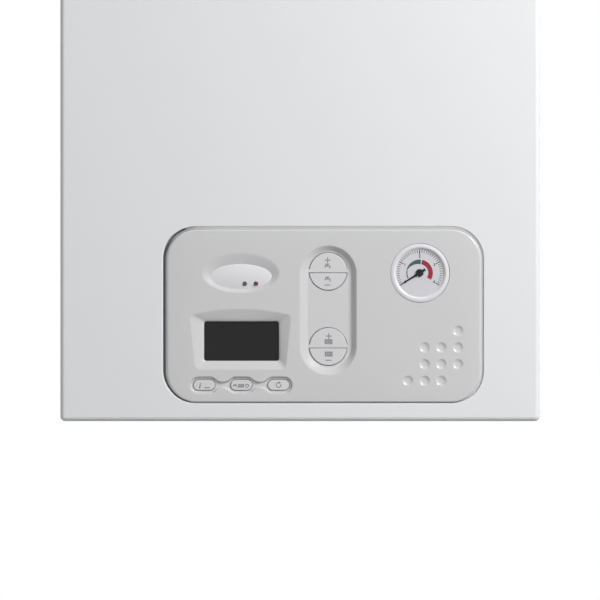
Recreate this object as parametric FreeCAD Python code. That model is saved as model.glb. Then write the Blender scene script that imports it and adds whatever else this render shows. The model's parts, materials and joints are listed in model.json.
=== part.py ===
"""Wall-hung combination gas boiler: casing, control panel, combustion group and hydraulic group.

Millimetres. X runs right, Y runs from the front to the wall, Z runs up. The wall plane is Y = 0,
the casing's lower rim is Z = 0 and the boiler's middle is X = 0.
"""
import FreeCAD
import Part

import math
import os

from FreeCAD import Vector

# Shared thicknesses and clearances
SHEET = 0.8
FRAME_SHEET = 1.2
FIT_GAP = 0.3
RUNNING_GAP = 0.1
OVERRUN = 1.0
SAME_POINT = 0.000001

# Casing
CASING_WIDTH = 400.0
CASING_HEIGHT = 700.0
CASING_DEPTH = 250.0
FRONT_TRAY_DEPTH = 30.0
FRONT_BEND_RADIUS = 4.0
FRONT_LIP_START = 12.0
FRONT_LIP_RISE = 3.5
SIDE_FLANGE = 15.0
SIDE_FLANGE_STOP = 16.0
BEND_RADIUS = 0.8

# Rounded opening in the front casing, with its edge turned inwards
OPENING_X = 19.6
OPENING_Z = 89.2
OPENING_WIDTH = 267.5
OPENING_HEIGHT = 148.0
OPENING_RADIUS = 27.5
OPENING_COLLAR = 5.0
OPENING_ROUND = 1.2

# Rear frame
FRAME_DEPTH = 30.0
HOOK_SPACING = 300.0
HOOK_DROP = 60.0
HOOK_RADIUS = 5.5
RIB_RADIUS = 5.0
RIB_PITCH = 62.0
RIB_COUNT = 4
RIB_LOW = 70.0
RIB_HIGH = 620.0

# Top and bottom plates, with the screws that hold the casing
TOP_RECESS = 10.0
TOP_PLATE_INSET = 10.0
BOTTOM_PLATE_HEIGHT = 40.0
BOTTOM_PLATE_INSET = 60.0
BOTTOM_LIP_END_GAP = 2.0
LIP_SCREW_SIDE_INSET = 28.0
TOP_SCREW_SIDE_INSET = 20.0
TOP_SCREW_INSET = 15.0
SCREW_RADIUS = 2.0
SCREW_LENGTH = 8.0
SCREW_HEAD_RADIUS = 4.0
SCREW_HEAD_HEIGHT = 2.0

# Concentric flue connection, and the pressed blank for a separate air pipe beside it
FLUE_Y = -150.0
FLUE_RADIUS = 30.2
FLUE_WALL = 1.2
FLUE_DROP = 8.0
COLLAR_RADIUS = 50.3
COLLAR_WALL = 1.2
COLLAR_HEIGHT = 30.0
COLLAR_FLANGE = 14.0
COLLAR_FLANGE_THICKNESS = 1.5
COLLAR_SCREW_COUNT = 4
BLANK_MARGIN = 23.0
BLANK_RISE = 2.0

# Control fascia
FASCIA_GAP = 2.0
FASCIA_PROUD = 1.0
FASCIA_WALL = 2.5
FASCIA_ROUND = 3.0
FASCIA_FLANGE = 9.0
FASCIA_FLANGE_THICKNESS = 2.5
FASCIA_FLANGE_GAP = 0.5
BOSS_MARGIN = 2.0

# Badge dish and lens, with two status lights (places from the fascia's middle)
DISH_U = -69.0
DISH_V = 34.1
DISH_HALF_WIDTH = 31.8
DISH_HALF_HEIGHT = 16.2
DISH_DEPTH = 3.5
LENS_U = -68.7
LENS_V = 31.6
LENS_HALF_WIDTH = 25.7
LENS_HALF_HEIGHT = 10.4
LENS_EDGE = 1.2
LENS_CROWN = 1.4
LED_RADIUS = 1.6
LED_DROP = 6.1
LED_GREEN_SHIFT = 3.1
LED_RED_SHIFT = 12.4
LED_STAND = 0.4

# Display window and its sloping recess
DISPLAY_U = -68.4
DISPLAY_V = -22.0
DISPLAY_WIDTH = 62.0
DISPLAY_HEIGHT = 32.0
DISPLAY_RADIUS = 1.3
DISPLAY_DEPTH = 5.0
DISPLAY_RIM = 1.2
DISPLAY_TOP_WIDTH = 82.9
DISPLAY_FOOT_WIDTH = 73.7
DISPLAY_TOP_RISE = 5.9
DISPLAY_FOOT_DROP = 7.9
DISPLAY_ARCH = 4.4
WINDOW_LAP = 3.0
WINDOW_THICKNESS = 2.0
MODULE_MARGIN = 1.0

# Upright recess with two split round keys
KEY_U = 3.9
KEY_HIGH_V = 35.7
KEY_LOW_V = -27.0
KEY_RADIUS = 16.0
KEY_BAR = 2.0
KEY_RECESS_RADIUS = 23.5
KEY_FLOOR_RADIUS = 18.1
KEY_RECESS_DEPTH = 4.0

# Row of three pill keys in a waisted recess
PILL_U = -68.5
PILL_V = -59.0
PILL_PITCH = 31.0
PILL_WIDTH = 18.5
PILL_HEIGHT = 9.4
PILL_MARGIN = 2.4
PILL_WAIST = 5.4
PILL_RECESS_DEPTH = 2.2
PILL_RECESS_SLOPE = 1.2

# What all keys share
KEY_CLEARANCE = 0.35
KEY_PROUD = 1.0
KEY_ROUND = 0.7
KEY_LAP = 0.8
KEY_FLANGE_THICKNESS = 1.2
KEY_STEM_RADIUS = 2.5
KEY_TRAVEL = 1.0
KEY_SPARE_TRAVEL = 0.4
SWITCH_WIDTH = 6.0
SWITCH_HEIGHT = 4.5
SWITCH_BODY = 3.2
SWITCH_TIP_RADIUS = 1.7

# Dimples pressed into the fascia, by grid column and row
DIMPLE_U = 70.3
DIMPLE_V = -13.7
DIMPLE_PITCH = 13.9
DIMPLE_RADIUS = 4.1
DIMPLE_DEPTH = 1.4
DIMPLE_CELLS = ((3, 0), (1, 1), (2, 1), (3, 1), (1, 2), (2, 2), (3, 2), (0, 3), (1, 3), (2, 3))

# Circuit board and the rear cover of the control box
BOARD_INSET = 20.0
BOARD_THICKNESS = 1.6
BOARD_WIDTH = 154.0
BOARD_HEIGHT = 128.0
BOARD_SHIFT = -46.0
BOARD_CORNER = 3.0
COVER_INSET = 1.5
COVER_WALL = 2.0
POST_RADIUS = 4.0
POST_INSET = 6.0

# Pressure gauge
GAUGE_U = 80.1
GAUGE_V = 34.5
GAUGE_RIM_RADIUS = 24.6
GAUGE_RIM_PROUD = 1.4
GAUGE_RIM_ROUND = 1.0
GAUGE_DIAL_RADIUS = 21.2
GAUGE_DIAL_DEPTH = 2.2
GAUGE_DIAL_THICKNESS = 1.0
GAUGE_LENS_LAP = 0.8
GAUGE_LENS_THICKNESS = 0.8
GAUGE_LENS_STAND = 0.2
GAUGE_CUP_WALL = 1.2
GAUGE_CUP_DEPTH = 24.0
GAUGE_SOCKET_RADIUS = 5.0
GAUGE_SOCKET_LENGTH = 8.0
POINTER_HUB_RADIUS = 3.2
POINTER_HUB_HEIGHT = 0.7
POINTER_LENGTH = 19.4
POINTER_TAIL = 5.5
POINTER_ROOT_WIDTH = 2.2
POINTER_TIP_WIDTH = 0.7
POINTER_THICKNESS = 0.6
POINTER_LIFT = 0.4
POINTER_SHAFT_RADIUS = 1.0
POINTER_SHAFT_LENGTH = 10.0
POINTER_ZERO_ANGLE = 212.0
CAPILLARY_RADIUS = 1.5
CAPILLARY_HOLE = 3.0
CAPILLARY_BEND = 10.0
CAPILLARY_SAG = 14.0
CAPILLARY_END_REACH = 40.3

# Sealed chamber and its cover
CHAMBER_SIDE_ROOM = 18.0
CHAMBER_BACK = 92.0
CHAMBER_FRONT = 236.0
CHAMBER_FLOOR = 300.0
CHAMBER_SHEET = 1.0
CHAMBER_RIM = 8.0
CHAMBER_PANEL_INSET = 30.0
CHAMBER_PANEL_RISE = 3.0
PIPE_CLEARANCE = 0.5

# Combustion box, lining, burner and gas manifold
COMBUSTION_SIDE_ROOM = 47.0
COMBUSTION_DEPTH = 110.0
COMBUSTION_Y = -167.0
COMBUSTION_HEIGHT = 154.0
AIR_WINDOW_HEIGHT = 44.0
AIR_WINDOW_MARGIN = 20.0
LINING = 12.0
LINING_FOOT = 52.0
RAMP_COUNT = 11
RAMP_SIDE_ROOM = 35.0
RAMP_WIDTH = 10.0
RAMP_LENGTH = 84.0
RAMP_HEIGHT = 32.0
RAMP_LIFT = 10.0
RAMP_ROUND = 3.0
RAMP_SLOT_WIDTH = 2.0
RAMP_SLOT_DEPTH = 6.0
RAIL_SPACING = 56.0
RAIL_SIZE = 6.0
MANIFOLD_LIFT = 22.0
MANIFOLD_RADIUS = 7.0
MANIFOLD_OVERHANG = 14.0
NOZZLE_RADIUS = 3.0
NOZZLE_LENGTH = 10.0
SOCKET_RADIUS = 10.0
SOCKET_LENGTH = 16.0
ELECTRODE_SPACING = 120.0
ELECTRODE_LIFT = 64.0
ELECTRODE_RADIUS = 4.0
ELECTRODE_OUTSIDE = 9.0
ELECTRODE_INSIDE = 18.0
ELECTRODE_TIP_RADIUS = 1.2
ELECTRODE_TIP = 26.0

# Finned heat exchanger
EXCHANGER_HEIGHT = 60.0
EXCHANGER_SHEET = 1.5
FIN_COUNT = 18
FIN_THICKNESS = 1.0
FIN_MARGIN = 4.0
TUBE_COUNT = 5
TUBE_RADIUS = 7.0
TUBE_PITCH = 19.0
TUBE_STUB = 13.0
TUBE_LAND = 3.0

# Flue hood and fan
HOOD_SHEET = 1.0
HOOD_SHOULDER = 30.0
HOOD_DUCT_DEPTH = 20.0
HOOD_DUCT_MARGIN = 6.0
FAN_LIFT = 97.0
SCROLL_RADIUS = 48.0
SCROLL_GROWTH = 6.0
SCROLL_DEPTH = 65.0
SCROLL_WALL = 1.5
SCROLL_OUTLET_RISE = 60.0
SCROLL_PLATE_MARGIN = 3.0
FAN_INLET_RADIUS = 30.0
FAN_WHEEL_RADIUS = 42.0
FAN_WHEEL_WIDTH = 46.0
FAN_WHEEL_SHEET = 1.2
FAN_BLADE_COUNT = 24
FAN_BLADE_DEPTH = 8.0
FAN_BLADE_THICKNESS = 0.8
FAN_BLADE_ANGLE = 35.0
FAN_HUB_RADIUS = 8.0
FAN_HUB_LENGTH = 14.0
FAN_SHAFT_RADIUS = 3.0
FAN_SHAFT_LENGTH = 34.0
FAN_MOTOR_RADIUS = 32.0
FAN_MOTOR_LENGTH = 40.0
FAN_MOTOR_CAP_RADIUS = 20.0
FAN_MOTOR_CAP_LENGTH = 6.0

# Expansion vessel
VESSEL_RADIUS = 160.0
VESSEL_DEPTH = 78.0
VESSEL_Z = 500.0
VESSEL_ROUND = 26.0
VESSEL_SEAM = 3.0
VESSEL_SEAM_WIDTH = 4.0
VESSEL_WALL = 1.5

# Connections under the boiler: places, threads and copper pipes
CONNECTION_Y = -103.0
HEATING_INSET = 60.0
WIDE_THREAD_RADIUS = 13.2
NARROW_THREAD_RADIUS = 10.5
THREAD_END = 8.0
HEX_HEIGHT = 9.0
HEX_MARGIN = 4.0
THREAD_HOLE_GAP = 1.0
PIPE_RADIUS = 8.0
PIPE_WALL = 1.0
PIPE_BEND = 16.0
TUBE_BEND = 12.0
PIPE_RISER_INSET = 17.0
PIPE_JOG_HIGH = 250.0
PIPE_JOG_LOW = 225.0

# Plate heat exchanger
PLATES_HEIGHT = 78.0
PLATES_DEPTH = 46.0
PLATES_BACK = 14.0
PLATES_Z = 111.0
PLATES_CORNER = 18.0
PLATE_COUNT = 8
PLATE_STEP = 1.5
PLATE_GROOVE_SHARE = 0.3
PORT_RADIUS = 8.0
PORT_LENGTH = 6.0
PORT_REACH = 52.0
PORT_EDGE = 14.0
PORT_HIGH_Z = 135.0
PORT_LOW_Z = 92.0

# Valve blocks at either end of the plate heat exchanger
BLOCK_REACH = 64.0
BLOCK_DEPTH = 62.0
BLOCK_HEIGHT = 30.0
BLOCK_ROUND = 4.0
BARREL_RADIUS = 20.0
BARREL_LOW = 60.0
DIVERTER_TOP = 205.0
RETURN_TOP = 165.0
DIVERTER_REACH = 26.0
STEM_RADIUS = 4.0
STEM_LENGTH = 50.0
STEM_INSIDE = 28.0
STEM_BORE = 40.0
STEM_FREE_GAP = 0.5
STEM_HEAD_ROOM = 5.0
ACTUATOR_WIDTH = 40.0
ACTUATOR_HEIGHT = 46.0
ACTUATOR_DEPTH = 50.0
ACTUATOR_ROUND = 5.0

# Pump
PUMP_Z = 215.0
PUMP_RADIUS = 44.0
PUMP_DEPTH = 36.0
PUMP_WALL = 5.0
PUMP_NECK_RADIUS = 14.0
PUMP_TOP = 263.0
PUMP_WHEEL_RADIUS = 31.0
PUMP_WHEEL_THICKNESS = 4.0
PUMP_VANE_COUNT = 6
PUMP_VANE_HEIGHT = 8.0
PUMP_VANE_THICKNESS = 2.0
PUMP_SHAFT_RADIUS = 4.0
PUMP_SHAFT_LENGTH = 30.0
PUMP_MOTOR_RADIUS = 40.0
PUMP_MOTOR_LENGTH = 60.0
PUMP_MOTOR_ROUND = 6.0
PUMP_PLUG_RADIUS = 12.0
PUMP_PLUG_HEIGHT = 2.5

# Safety valve, filling tap, gas valve and cable gland
SAFETY_REACH = 14.0
SAFETY_RADIUS = 11.0
SAFETY_LENGTH = 24.0
SAFETY_CAP_RADIUS = 14.0
SAFETY_CAP_LENGTH = 20.0
SAFETY_CAP_ROUND = 3.0
SAFETY_TAIL_RADIUS = 8.0
TAP_Y = -98.0
TAP_SPINDLE_RADIUS = 4.0
TAP_SPINDLE_DEPTH = 18.0
TAP_KNOB_RADIUS = 13.0
TAP_KNOB_LOW = 9.0
TAP_KNOB_HEIGHT = 20.0
TAP_KNOB_ROUND = 2.0
TAP_FLUTE_COUNT = 8
TAP_FLUTE_RADIUS = 3.0
TAP_FLUTE_DEPTH = 1.2
GAS_VALVE_WIDTH = 70.0
GAS_VALVE_DEPTH = 62.0
GAS_VALVE_LOW = 120.0
GAS_VALVE_HEIGHT = 84.0
GAS_VALVE_ROUND = 6.0
GAS_BOSS_RADIUS = 12.0
GAS_BOSS_LENGTH = 12.0
GAS_COIL_RADIUS = 17.0
GAS_COIL_LENGTH = 34.0
GAS_COIL_SPREAD = 36.0
GLAND_Y = -150.0
GLAND_RADIUS = 8.0
GLAND_BORE_RADIUS = 4.0
GLAND_NUT_RADIUS = 12.0
GLAND_NUT_HEIGHT = 6.0
GLAND_DOME = 9.0
GLAND_STEM = 10.0

# Planes and places worked out from the sizes above
HALF_WIDTH = CASING_WIDTH / 2
FRONT_Y = -CASING_DEPTH
TRAY_Y = FRONT_Y + FRONT_TRAY_DEPTH
FRAME_HALF = HALF_WIDTH - SHEET - FIT_GAP
TOP_Z = CASING_HEIGHT - TOP_RECESS
TOP_FACE_Z = TOP_Z + FRAME_SHEET
BOTTOM_FACE_Z = BOTTOM_PLATE_HEIGHT + FRAME_SHEET
LIP_TOP_Z = FRONT_LIP_RISE + SHEET
LIP_SCREW_Y = FRONT_Y + (FRONT_LIP_START + FRONT_TRAY_DEPTH) / 2
FACE_Y = FRONT_Y - FASCIA_PROUD
FASCIA_WIDTH = OPENING_WIDTH - 2 * FASCIA_GAP
FASCIA_HEIGHT = OPENING_HEIGHT - 2 * FASCIA_GAP
FASCIA_RADIUS = OPENING_RADIUS - FASCIA_GAP
FLANGE_FRONT_Y = FRONT_Y + OPENING_COLLAR + FASCIA_FLANGE_GAP
FLANGE_REAR_Y = FLANGE_FRONT_Y + FASCIA_FLANGE_THICKNESS
TOP_PLATE_REACH = CASING_DEPTH - TOP_PLATE_INSET
BOTTOM_PLATE_REACH = CASING_DEPTH - BOTTOM_PLATE_INSET
COVER_REAR_Y = -(BOTTOM_PLATE_REACH + FIT_GAP)
BOARD_Y = FRONT_Y + BOARD_INSET
STEM_END_Y = BOARD_Y - SWITCH_HEIGHT - KEY_TRAVEL - KEY_SPARE_TRAVEL
WINDOW_Y = FACE_Y + DISPLAY_DEPTH + DISPLAY_RIM
DISH_FLOOR_Y = FACE_Y + DISH_DEPTH
CHAMBER_TOP = TOP_Z
FLOOR_Z = CHAMBER_FLOOR + CHAMBER_SHEET
COMBUSTION_TOP = FLOOR_Z + COMBUSTION_HEIGHT
EXCHANGER_TOP = COMBUSTION_TOP + EXCHANGER_HEIGHT
TUBE_Z = COMBUSTION_TOP + EXCHANGER_HEIGHT / 2
FAN_OUTLET = SCROLL_RADIUS + 3 * SCROLL_GROWTH
FAN_X = -FAN_OUTLET / 2
FAN_Z = EXCHANGER_TOP + FAN_LIFT
SCROLL_REAR_Y = FLUE_Y + SCROLL_DEPTH / 2
SCROLL_FRONT_Y = FLUE_Y - SCROLL_DEPTH / 2
OUTLET_TOP_Z = FAN_Z + SCROLL_OUTLET_RISE
COLLAR_TOP_Z = TOP_FACE_Z + COLLAR_HEIGHT
PLATES_FRONT_Y = -(PLATES_BACK + PLATES_DEPTH)
PORT_FACE_Y = PLATES_FRONT_Y - PORT_LENGTH
BLOCK_FRONT_Y = PORT_FACE_Y - BLOCK_DEPTH
BLOCK_LOW_Z = PORT_HIGH_Z - BLOCK_HEIGHT / 2
PUMP_FRONT_Y = CONNECTION_Y - PUMP_DEPTH / 2
GAS_TOP = GAS_VALVE_LOW + GAS_VALVE_HEIGHT + GAS_BOSS_LENGTH
MANIFOLD_Z = FLOOR_Z + MANIFOLD_LIFT
SCREW_HOLE_RADIUS = SCREW_RADIUS + FIT_GAP
LIP_SCREW_X = HALF_WIDTH - LIP_SCREW_SIDE_INSET
TOP_SCREW_X = HALF_WIDTH - TOP_SCREW_SIDE_INSET
COLLAR_EDGE = COLLAR_RADIUS + COLLAR_WALL + COLLAR_FLANGE
BLANK_X = (COLLAR_EDGE + HALF_WIDTH) / 2
BLANK_RADIUS = (HALF_WIDTH - COLLAR_EDGE) / 2 - BLANK_MARGIN
CHAMBER_WIDTH = CASING_WIDTH - 2 * CHAMBER_SIDE_ROOM
PIPE_RISER_X = CHAMBER_WIDTH / 2 - PIPE_RISER_INSET
COMBUSTION_WIDTH = CHAMBER_WIDTH - 2 * COMBUSTION_SIDE_ROOM
RAMP_PITCH = (COMBUSTION_WIDTH - 2 * RAMP_SIDE_ROOM) / (RAMP_COUNT - 1)
HEATING_X = HALF_WIDTH - HEATING_INSET
WATER_X = HEATING_X / 2
PORT_X = HEATING_X - PORT_REACH
PLATES_WIDTH = 2 * (PORT_X + PORT_EDGE)
BLOCK_INNER_X = HEATING_X - BLOCK_REACH
BLOCK_OUTER_X = HEATING_X + BARREL_RADIUS
DIVERTER_X = DIVERTER_REACH - HEATING_X
SAFETY_X = HEATING_X - SAFETY_REACH
TAP_X = (HEATING_X + WATER_X) / 2
GLAND_X = -TAP_X
RIGHT = Vector(1, 0, 0)
BACK = Vector(0, 1, 0)
UP = Vector(0, 0, 1)


def block(x, y, z):
    """A box from three pairs of low and high limits."""
    size = [abs(pair[1] - pair[0]) for pair in (x, y, z)]
    return Part.makeBox(*size, Vector(min(x), min(y), min(z)))


def rod(radius, start, end):
    """A round bar between two points."""
    along = end - start
    return Part.makeCylinder(radius, along.Length, start, along)


def joined(shapes):
    """One solid from pieces that touch or overlap."""
    return shapes[0].multiFuse(shapes[1:]).removeSplitter()


def corner_arc(before, corner, after, radius):
    """Start, middle and end of the arc that rounds a corner between two straight runs."""
    back = (before - corner).normalize()
    ahead = (after - corner).normalize()
    half = back.getAngle(ahead) / 2
    reach = radius / math.tan(half)
    middle = (back + ahead).normalize() * (radius / math.sin(half) - radius)
    return corner + back * reach, corner + middle, corner + ahead * reach


def rounded_edges(points, radii, closed):
    """Straight runs through the points, joined by tangent arcs."""
    count = len(points)
    stops = []
    for index, (corner, radius) in enumerate(zip(points, radii)):
        if radius > 0 and (closed or 0 < index < count - 1):
            stops.append(corner_arc(points[index - 1], corner, points[(index + 1) % count], radius))
        else:
            stops.append((corner, corner, corner))
    edges = []
    for index, (first, middle, last) in enumerate(stops):
        if first.distanceToPoint(last) > SAME_POINT:
            edges.append(Part.Arc(first, middle, last).toShape())
        following = stops[(index + 1) % count][0]
        if (closed or index < count - 1) and last.distanceToPoint(following) > SAME_POINT:
            edges.append(Part.LineSegment(last, following).toShape())
    return edges


def plate(points, radius, sweep):
    """A closed outline with equally rounded corners, swept straight."""
    edges = rounded_edges(points, [radius] * len(points), True)
    return Part.Face(Part.Wire(edges)).extrude(sweep)


def rectangle(x, z, width, height, y):
    """Corners of an upright rectangle that faces the front."""
    left, right = x - width / 2, x + width / 2
    low, high = z - height / 2, z + height / 2
    return [Vector(left, y, low), Vector(right, y, low), Vector(right, y, high), Vector(left, y, high)]


def front_plate(x, z, width, height, radius, front, rear):
    """A rounded rectangular slab between two depths."""
    return plate(rectangle(x, z, width, height, front), radius, Vector(0, rear - front, 0))


def level_rectangle(x, y, z):
    """A level rectangular wire from two pairs of limits at one height."""
    corners = [Vector(x[0], y[0], z), Vector(x[1], y[0], z), Vector(x[1], y[1], z), Vector(x[0], y[1], z)]
    return Part.makePolygon(corners + corners[:1])


def turned(points, radii, centre, axis):
    """A solid of revolution; each point is a radius and a distance along the axis."""
    side = UP if axis.z == 0 else RIGHT
    loop = [centre + side * radius + axis * along for radius, along in points]
    return Part.Face(Part.Wire(rounded_edges(loop, radii, True))).revolve(centre, axis, 360)


def sheet_strip(points, thickness, sweep):
    """Bent sheet: a skin line, its thickness to the left of the line's run, swept straight."""
    normal = Vector(sweep).normalize()
    runs = [(end - start).normalize() for start, end in zip(points, points[1:])]
    lefts = [normal.cross(run) * thickness for run in runs]
    inner = [points[0] + lefts[0]]
    skin_radii, inner_radii = [0], [0]
    for index in range(1, len(runs)):
        inner.append(points[index] + lefts[index - 1] + lefts[index])
        turns_left = normal.cross(runs[index - 1]).dot(runs[index]) > 0
        skin_radii.append(BEND_RADIUS + thickness if turns_left else BEND_RADIUS)
        inner_radii.append(BEND_RADIUS if turns_left else BEND_RADIUS + thickness)
    inner.append(points[-1] + lefts[-1])
    loop = points + inner[::-1]
    radii = skin_radii + [0, 0] + inner_radii[:0:-1] + [0]
    return Part.Face(Part.Wire(rounded_edges(loop, radii, True))).extrude(sweep)


def bent_rod(points, bend, radius):
    """A round section swept along straight runs and tangent bends."""
    path = Part.Wire(rounded_edges(points, [bend] * len(points), False))
    section = Part.Wire(Part.Circle(points[0], points[1] - points[0], radius).toShape())
    return path.makePipeShell([section], True, True)


def bent_tube(points, bend, radius, wall):
    """A hollow pipe along straight runs and tangent bends."""
    return bent_rod(points, bend, radius).cut(bent_rod(points, bend, radius - wall))


def hexagon(radius, x, y, low, high):
    """A six-sided collar; the radius is to its flats."""
    corner = radius / math.cos(math.pi / 6)
    turn = [FreeCAD.Rotation(UP, 60 * step) for step in range(6)]
    points = [Vector(x, y, low) + turn[step].multVec(Vector(corner, 0, 0)) for step in range(6)]
    return plate(points, 0, UP * (high - low))


def on_face(u, v, y):
    """A point of the control panel, from the fascia's middle, at one depth."""
    return Vector(OPENING_X + u, y, OPENING_Z + v)


def hole(radius, u, v, front, rear):
    """A round bar through the control panel between two depths."""
    return rod(radius, on_face(u, v, front), on_face(u, v, rear))


def tray_block(half, front, rear, low, high, radius):
    """A block with every edge rounded but those of its open rear face."""
    solid = block((-half, half), (front, rear), (low, high))
    edges = [edge for edge in solid.Edges if edge.CenterOfMass.y < rear - SAME_POINT]
    return solid.makeFillet(radius, edges)


def front_lip():
    """The casing's lower lip: it steps up so that the screw heads stay above the rim."""
    half = HALF_WIDTH - 2 * FRONT_BEND_RADIUS
    step_y = FRONT_Y + FRONT_LIP_START
    skin = [(FRONT_Y + FRONT_BEND_RADIUS, 0), (step_y, 0), (step_y, FRONT_LIP_RISE), (TRAY_Y, FRONT_LIP_RISE)]
    strip = sheet_strip([Vector(-half, y, z) for y, z in skin], SHEET, RIGHT * (2 * half))
    return strip, block((-half, half), (step_y, TRAY_Y + OVERRUN), (-OVERRUN, SHEET))


def front_casing():
    """Painted front tray with a stepped lower lip and a turned-in opening."""
    outer = tray_block(HALF_WIDTH, FRONT_Y, TRAY_Y, 0, CASING_HEIGHT, FRONT_BEND_RADIUS)
    inner = tray_block(HALF_WIDTH - SHEET, FRONT_Y + SHEET, TRAY_Y + OVERRUN, SHEET,
                       CASING_HEIGHT - SHEET, FRONT_BEND_RADIUS - SHEET)
    strip, gap = front_lip()
    turned_edge = front_plate(OPENING_X, OPENING_Z, OPENING_WIDTH + 2 * SHEET, OPENING_HEIGHT + 2 * SHEET,
                              OPENING_RADIUS + SHEET, FRONT_Y, FRONT_Y + OPENING_COLLAR)
    cut_out = front_plate(OPENING_X, OPENING_Z, OPENING_WIDTH, OPENING_HEIGHT, OPENING_RADIUS,
                          FRONT_Y - OVERRUN, TRAY_Y)
    tray = joined([outer.cut(inner).cut(gap), strip, turned_edge]).cut(cut_out)
    rim = [edge for edge in tray.Edges if on_opening_rim(edge)]
    tray = tray.makeFillet(OPENING_ROUND, rim)
    for x in (-LIP_SCREW_X, LIP_SCREW_X):
        tray = tray.cut(rod(SCREW_HOLE_RADIUS, Vector(x, LIP_SCREW_Y, 0), Vector(x, LIP_SCREW_Y, LIP_TOP_Z)))
    return tray


def on_opening_rim(edge):
    """Whether an edge is part of the opening's outline on the front face."""
    middle = edge.CenterOfMass
    inside_x = abs(middle.x - OPENING_X) < OPENING_WIDTH / 2 + SHEET / 2
    inside_z = abs(middle.z - OPENING_Z) < OPENING_HEIGHT / 2 + SHEET / 2
    flat = edge.BoundBox.YLength < SHEET / 2
    return flat and inside_x and inside_z and abs(middle.y - FRONT_Y) < SHEET / 2


def right_side_panel():
    """Painted side sheet with an inward front flange that stops short of both ends."""
    front = TRAY_Y + FIT_GAP
    skin = [(HALF_WIDTH - SIDE_FLANGE, front), (HALF_WIDTH, front), (HALF_WIDTH, 0)]
    panel = sheet_strip([Vector(x, y, 0) for x, y in skin], SHEET, UP * CASING_HEIGHT)
    across = (HALF_WIDTH - SIDE_FLANGE - OVERRUN, HALF_WIDTH - 2 * SHEET)
    along = (front - OVERRUN, front + SIDE_FLANGE)
    for limits in ((-OVERRUN, SIDE_FLANGE_STOP), (CASING_HEIGHT - SIDE_FLANGE_STOP, CASING_HEIGHT + OVERRUN)):
        panel = panel.cut(block(across, along, limits))
    return panel


def left_side_panel():
    """The same panel for the other side."""
    return right_side_panel().mirror(Vector(0, 0, 0), RIGHT)


def rib(x, radius):
    """A round-ended bar on the wall plane."""
    low, high = Vector(x, 0, RIB_LOW), Vector(x, 0, RIB_HIGH)
    return joined([rod(radius, low, high), Part.makeSphere(radius, low), Part.makeSphere(radius, high)])


def rear_frame():
    """Back tray with pressed ribs and two hanging holes."""
    frame = block((-FRAME_HALF, FRAME_HALF), (-FRAME_DEPTH, 0), (0, TOP_Z))
    inner_half = FRAME_HALF - FRAME_SHEET
    frame = frame.cut(block((-inner_half, inner_half), (-FRAME_DEPTH - OVERRUN, -FRAME_SHEET),
                            (-OVERRUN, TOP_Z - FRAME_SHEET)))
    places = [RIB_PITCH * (index - (RIB_COUNT - 1) / 2) for index in range(RIB_COUNT)]
    frame = joined([frame] + [rib(x, RIB_RADIUS) for x in places])
    for x in places:
        frame = frame.cut(rib(x, RIB_RADIUS - FRAME_SHEET))
    frame = frame.cut(block((-FRAME_HALF, FRAME_HALF), (0, RIB_RADIUS + OVERRUN), (0, TOP_Z)))
    hook_z = CASING_HEIGHT - HOOK_DROP
    for x in (-HOOK_SPACING / 2, HOOK_SPACING / 2):
        frame = frame.cut(rod(HOOK_RADIUS, Vector(x, -FRAME_SHEET - OVERRUN, hook_z),
                              Vector(x, OVERRUN, hook_z)))
    for x in (-TOP_SCREW_X, TOP_SCREW_X):
        frame = frame.cut(screw_hole(x, -TOP_SCREW_INSET, TOP_Z))
    return frame


def screw_hole(x, y, z):
    """A clearance hole for an upright screw through sheets on either side of a height."""
    reach = UP * (2 * FRAME_SHEET)
    return rod(SCREW_HOLE_RADIUS, Vector(x, y, z) - reach, Vector(x, y, z) + reach)


def collar_screw_places():
    """Where the screws of the air collar stand."""
    ring = COLLAR_RADIUS + COLLAR_WALL + COLLAR_FLANGE / 2
    angles = [math.pi * (2 * index + 1) / COLLAR_SCREW_COUNT for index in range(COLLAR_SCREW_COUNT)]
    return [(ring * math.cos(angle), FLUE_Y + ring * math.sin(angle)) for angle in angles]


def top_plate():
    """Top cover with the flue opening and a pressed blank for a separate air pipe."""
    lip_z = CASING_HEIGHT - SHEET - FIT_GAP
    skin = [(-TOP_PLATE_REACH, lip_z), (-TOP_PLATE_REACH, TOP_Z), (-FRAME_SHEET, TOP_Z)]
    cover = sheet_strip([Vector(-FRAME_HALF, y, z) for y, z in skin], FRAME_SHEET, RIGHT * (2 * FRAME_HALF))
    blank = Vector(BLANK_X, FLUE_Y, TOP_Z)
    cover = joined([cover, rod(BLANK_RADIUS, blank, blank + UP * (FRAME_SHEET + BLANK_RISE))])
    cover = cover.cut(rod(BLANK_RADIUS - FRAME_SHEET, blank - UP * OVERRUN, blank + UP * BLANK_RISE))
    centre = Vector(0, FLUE_Y, TOP_Z)
    cover = cover.cut(rod(COLLAR_RADIUS, centre - UP * OVERRUN, centre + UP * (FRAME_SHEET + OVERRUN)))
    places = collar_screw_places()
    places += [(x, -TOP_SCREW_INSET) for x in (-TOP_SCREW_X, TOP_SCREW_X)]
    for x, y in places:
        cover = cover.cut(screw_hole(x, y, TOP_Z))
    return cover


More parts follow.
